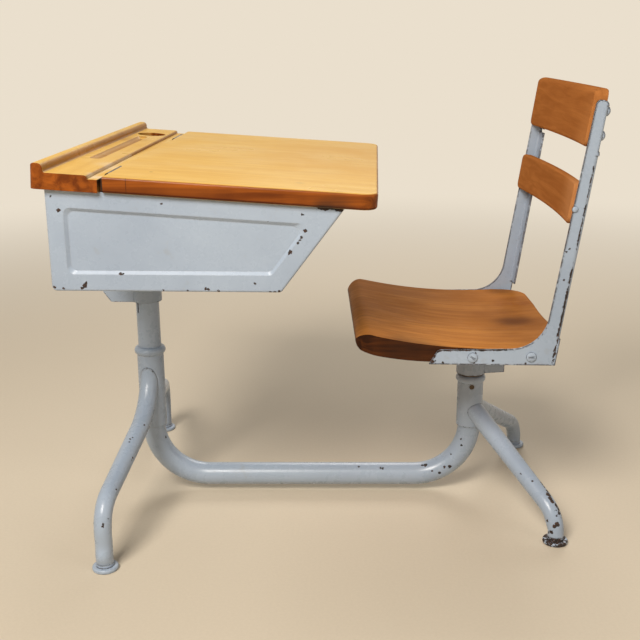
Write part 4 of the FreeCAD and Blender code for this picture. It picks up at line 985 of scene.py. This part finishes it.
def head_vector(x=0.0, y=0.0, z=0.0):
    """Three values as one vector in the tree of heads."""
    return add(head_tree, "ShaderNodeCombineXYZ", {"X": x, "Y": y, "Z": z}).outputs[0]


head_steps, dome_rings = 32, 6
edge_height = head_maths("SUBTRACT", given["Head Height"], given["Dome"])
disc_sizes = {"Vertices": head_steps, "Side Segments": 1, "Fill Segments": dome_rings}
disc_sizes.update({"Radius": given["Head Radius"], "Depth": edge_height})
disc = add(head_tree, "GeometryNodeMeshCylinder", disc_sizes, fill_type="TRIANGLE_FAN")
where = add(head_tree, "GeometryNodeInputPosition").outputs[0]
at = add(head_tree, "ShaderNodeSeparateXYZ", {0: where}).outputs
from_axis = vectors(head_tree, "LENGTH", head_vector(at["X"], at["Y"]))
out_share = head_maths("DIVIDE", from_axis, given["Head Radius"])
fall = head_maths("SUBTRACT", 1.0, head_maths("POWER", out_share, 2.0))
crown = head_maths("MULTIPLY", given["Dome"], fall)
on_top = head_maths("GREATER_THAN", at["Z"], 0.0)
half_edge = head_maths("MULTIPLY", edge_height, 0.5)
lift = head_maths("ADD", head_maths("MULTIPLY", crown, on_top), half_edge)
lifted = {"Geometry": disc.outputs["Mesh"], "Offset": head_vector(z=lift)}
dome = add(head_tree, "GeometryNodeSetPosition", lifted).outputs[0]
print("tree", head_tree.name, "inputs", len(head_inputs))

# %% [markdown]
# A screw needs a driver slot. A bar, longer than the head is wide, is cut out of the dome. A bolt
# or a rivet has none, so a switch lets its dome through uncut. The shank below is a plain
# cylinder, because wood or steel hides it.

# %% Tree of heads: the slot and the shank
slot_radii, slot_raise, shank_steps = 3.0, 0.1, 16
slot_reach = head_maths("MULTIPLY", given["Head Radius"], slot_radii)
slot_size = head_vector(slot_reach, given["Slot Width"], given["Slot Depth"])
slot_level = head_maths("MULTIPLY_ADD", given["Slot Depth"], slot_raise, given["Head Height"])
slot_bar = add(head_tree, "GeometryNodeMeshCube", {"Size": slot_size}).outputs[0]
slot_place = {"Geometry": slot_bar, "Translation": head_vector(z=slot_level)}
slot_bar = add(head_tree, "GeometryNodeTransform", slot_place).outputs[0]
cut_shapes = {"Mesh 1": dome, "Mesh 2": slot_bar}
cut = add(head_tree, "GeometryNodeMeshBoolean", cut_shapes, operation="DIFFERENCE").outputs[0]
choice = {"Switch": given["Slotted"], "False": dome, "True": cut}
head = add(head_tree, "GeometryNodeSwitch", choice, input_type="GEOMETRY").outputs[0]
shank_sizes = {"Radius": given["Shank Radius"], "Depth": given["Shank Length"]}
shank_sizes["Vertices"] = shank_steps
shank = add(head_tree, "GeometryNodeMeshCylinder", shank_sizes).outputs["Mesh"]
shank_level = head_maths("MULTIPLY", given["Shank Length"], -0.5)
shank_place = {"Geometry": shank, "Translation": head_vector(z=shank_level)}
shank = add(head_tree, "GeometryNodeTransform", shank_place).outputs[0]
whole = add(head_tree, "GeometryNodeJoinGeometry")
for part in (head, shank):
    fill(head_tree, whole.inputs[0], part)
print("nodes so far", len(head_tree.nodes))

# %% [markdown]
# Every point that the tree is given carries the direction its fastener faces and a turn for its
# slot, because no two screws in a row stop at the same angle. One copy of the head goes on each
# point, is aimed and then turned about its own axis.

# %% Tree of heads: a copy on every point
def point_value(name, kind):
    """A value that the points carry."""
    made = add(head_tree, "GeometryNodeInputNamedAttribute", {"Name": name}, data_type=kind)
    return made.outputs[0]


direction = {"Vector": point_value("aim", "FLOAT_VECTOR")}
aimed = add(head_tree, "FunctionNodeAlignRotationToVector", direction, axis="Z").outputs[0]
own_axis = {"Axis": (0, 0, 1), "Angle": point_value("turn", "FLOAT")}
spin = add(head_tree, "FunctionNodeAxisAngleToRotation", own_axis).outputs[0]
turns = {"Rotation": aimed, "Rotate By": spin}
facing = add(head_tree, "FunctionNodeRotateRotation", turns, rotation_space="LOCAL").outputs[0]
copies = {"Points": given["Points"], "Instance": whole.outputs[0], "Rotation": facing}
heads = add(head_tree, "GeometryNodeInstanceOnPoints", copies).outputs[0]
end_tree(head_tree, heads, given["Finish"])
print("tree", head_tree.name, "nodes", len(head_tree.nodes))

# %% [markdown]
# Where the fasteners sit, and how large they are, is already in the solids. Typing those numbers in
# again could go wrong, so the script measures each one along the direction it is driven in. The end
# that is wider is the head. The walk over each solid follows the mesh's own order, so that every
# run gives the same result.

# %% Measure the fasteners
end_share, tip_share, wide_share = 0.15, 0.1, 0.97
place_digits = 4


def islands(node):
    """The separate solids of one CAD node, each as a list of points."""
    shape = merged(node)
    shape.verts.index_update()
    reached = set()
    found = []
    for start in shape.verts:
        queue = [] if start.index in reached else [start]
        reached.add(start.index)
        group = []
        while queue:
            vertex = queue.pop()
            group.append(vertex.co.copy())
            for edge in vertex.link_edges:
                other = edge.other_vert(vertex)
                if other.index not in reached:
                    reached.add(other.index)
                    queue.append(other)
        if group:
            found.append(group)
    shape.free()

    def middle(group):
        """Where a solid is, so that the solids can be put in order."""
        return tuple(round(c, place_digits) for c in sum(group, Vector()) / len(group))

    return sorted(found, key=middle)


def measured(group, axis):
    """A fastener's seat, the way its head faces, and its head's and shank's sizes."""
    heights = [point.dot(axis) for point in group]
    flats = [point - axis * height for point, height in zip(group, heights)]
    low, high = min(heights), max(heights)
    spreads = []
    for end in (low, high):
        margin = end_share * (high - low)
        near = [flat for flat, height in zip(flats, heights) if abs(height - end) < margin]
        spreads.append(max((flat - near[0]).length for flat in near))
    way = axis if spreads[1] > spreads[0] else -axis
    middle = sum(flats, Vector()) / len(flats)
    radii = [(flat - middle).length for flat in flats]
    levels = [point.dot(way) for point in group]
    tip, top = min(levels), max(levels)
    head_radius = max(radii)
    seat = min(z for z, r in zip(levels, radii) if r > wide_share * head_radius)
    near_tip = tip + tip_share * (top - tip)
    shank_radius = max(r for z, r in zip(levels, radii) if z < near_tip)
    return middle + way * seat, way, (head_radius, top - seat, shank_radius, seat - tip)


print("side screws found", len(islands("side_screws")))

# %% [markdown]
# Now each kind of fastener takes the place of its plain solids. The screws in the seat's edges and
# the rivets and bolts of the slats wear enamel, and those out of sight are bare steel. A kind's
# heads are all alike, so the last one measured gives the size.

# %% Fasteners in place
dome_share = 0.55
slot_width_share, slot_depth_share = 0.22, 0.7
first_turn, next_turn = 0.7, 1.9


def fasteners(node, axis, material, slotted=True):
    """Domed heads on shanks in place of a CAD node's plain ones, each measured along its axis."""
    found = [measured(group, axis.normalized()) for group in islands(node)]
    seats, aims, sizes = zip(*found)
    mesh = bpy.data.meshes.new(node + "_heads")
    mesh.from_pydata(seats, [], [])
    aim = mesh.attributes.new("aim", "FLOAT_VECTOR", "POINT")
    aim.data.foreach_set("vector", [part for way in aims for part in way])
    turn = mesh.attributes.new("turn", "FLOAT", "POINT")
    turn.data.foreach_set("value", [first_turn + next_turn * i for i in range(len(seats))])
    piece = bpy.data.objects.new(node + "_heads", mesh)
    scene.collection.objects.link(piece)
    radius, height, shank_radius, shank_length = sizes[-1]
    run_tree(piece, head_tree, {
        head_inputs["Head Radius"]: radius,
        head_inputs["Head Height"]: height,
        head_inputs["Dome"]: height * dome_share,
        head_inputs["Shank Radius"]: shank_radius,
        head_inputs["Shank Length"]: shank_length,
        head_inputs["Slotted"]: slotted,
        head_inputs["Slot Width"]: radius * slot_width_share,
        head_inputs["Slot Depth"]: height * slot_depth_share,
        head_inputs["Finish"]: material,
    })
    stand_in(piece, node)
    head_size = (2 * radius / MM, height / MM)
    print(node, len(seats), "heads of %.1f by %.1f mm" % head_size)


seat_turn, upright_lean, top_slope = math.radians(3.8), math.radians(8.1), math.radians(3.7)
upright = Vector((0, 0, 1))
seat_turned = Matrix.Rotation(seat_turn, 3, "Z")
seat_across = seat_turned @ Vector((0, 1, 0))
seat_back = seat_turned @ (Matrix.Rotation(upright_lean, 3, "Y") @ Vector((1, 0, 0)))
top_normal = Matrix.Rotation(top_slope, 3, "Y") @ upright
fasteners("side_screws", seat_across, head_enamel)
fasteners("slat_pivots", seat_across, head_enamel, slotted=False)
fasteners("slat_bolts", seat_back, head_enamel, slotted=False)
fasteners("spider_screws", upright, steel)
fasteners("strip_screws", top_normal, steel)
fasteners("box_bolts", upright, steel, slotted=False)

# %% [markdown]
# The desk stands on a pale floor that takes a soft shadow. A plain flat floor would end in a hard
# horizon. Further out this one turns into the tone of the background. Only the camera and
# reflections see that tone, so it casts no light on the desk.

# %% Floor
pale = colour(234, 223, 205)
floor_radius, fade_start, fade_end = 12.0, 0.9, 3.4


def seen_directly(tree):
    """One for rays from the camera, from gloss or through glass, and nought for other light."""
    rays = add(tree, "ShaderNodeLightPath").outputs
    direct = maths(tree, "MAXIMUM", rays["Is Camera Ray"], rays["Is Glossy Ray"])
    return maths(tree, "MAXIMUM", direct, rays["Is Transmission Ray"])


floor_mesh = bpy.data.meshes.new("floor")
floor_shape = bmesh.new()
bmesh.ops.create_circle(floor_shape, cap_ends=True, radius=floor_radius, segments=96)
floor_shape.to_mesh(floor_mesh)
floor_shape.free()
floor = bpy.data.objects.new("floor", floor_mesh)
scene.collection.objects.link(floor)
floor_material, floor_tree, floor_shader, floor_place = new_material("pale_floor")
speckle = noise(floor_tree, floor_place, scale=220.0, detail=2.0)
floor_colour = mix(floor_tree, speckle, colour(212, 198, 176), colour(220, 206, 184))
fill(floor_tree, floor_shader.inputs["Base Color"], floor_colour)
floor_shader.inputs["Roughness"].default_value = 0.85
from_desk = vectors(floor_tree, "LENGTH", floor_place)
far_out = ramp(floor_tree, from_desk, fade_start, fade_end)
share = maths(floor_tree, "MULTIPLY", far_out, seen_directly(floor_tree))
glow = add(floor_tree, "ShaderNodeEmission", {"Color": pale, "Strength": 1.0}).outputs[0]
ground = add(floor_tree, "ShaderNodeMixShader", {0: share, 1: floor_shader.outputs[0], 2: glow})
fill(floor_tree, floor_tree.nodes["Material Output"].inputs["Surface"], ground.outputs[0])
floor_mesh.materials.append(floor_material)
print("floor fades from %.1f to %.1f m" % (fade_start, fade_end))

# %% [markdown]
# The world does two jobs. To the camera and to reflections it shows the pale background. To all
# other rays it is a weak, even light that keeps the shadows soft. Splitting the two lets the
# background be bright without washing out the desk.

# %% Background
ambient_strength = 0.17
world = bpy.data.worlds.new("studio")
scene.world = world
world.use_nodes = True
world_tree = world.node_tree
ambient = world_tree.nodes["Background"]
ambient.inputs["Color"].default_value = colour(236, 233, 228)
ambient.inputs["Strength"].default_value = ambient_strength
seen = add(world_tree, "ShaderNodeBackground", {"Color": pale, "Strength": 1.0})
backdrop = {0: seen_directly(world_tree), 1: ambient.outputs[0], 2: seen.outputs[0]}
both = add(world_tree, "ShaderNodeMixShader", backdrop)
fill(world_tree, world_tree.nodes["World Output"].inputs["Surface"], both.outputs[0])
print("even light", ambient_strength)

# %% [markdown]
# Three large lamps give the light of a small studio. The key lamp stands in front and to the left.
# A weak one fills the shadows on the right, and one behind draws a bright line along the top edges.

# %% Lamps
desk_middle, seat_side = (0.0, 0.0, 0.4), (0.1, 0.0, 0.4)


def soft_lamp(name, place, target, size, power, tint):
    """One large square lamp that points at a spot."""
    data = bpy.data.lights.new(name, "AREA")
    data.size = size
    data.energy = power
    data.color = tint
    lamp = bpy.data.objects.new(name, data)
    lamp.location = place
    aim_line = Vector(target) - Vector(place)
    lamp.rotation_euler = aim_line.to_track_quat("-Z", "Y").to_euler()
    scene.collection.objects.link(lamp)


soft_lamp("key", (-0.8, -2.1, 2.3), desk_middle, size=1.1, power=86.0, tint=(1.0, 0.95, 0.88))
soft_lamp("fill", (2.2, -1.6, 1.6), seat_side, size=1.4, power=8.0, tint=(1.0, 0.97, 0.93))
soft_lamp("back", (0.3, 2.2, 2.2), desk_middle, size=1.4, power=32.0, tint=(1.0, 0.98, 0.95))
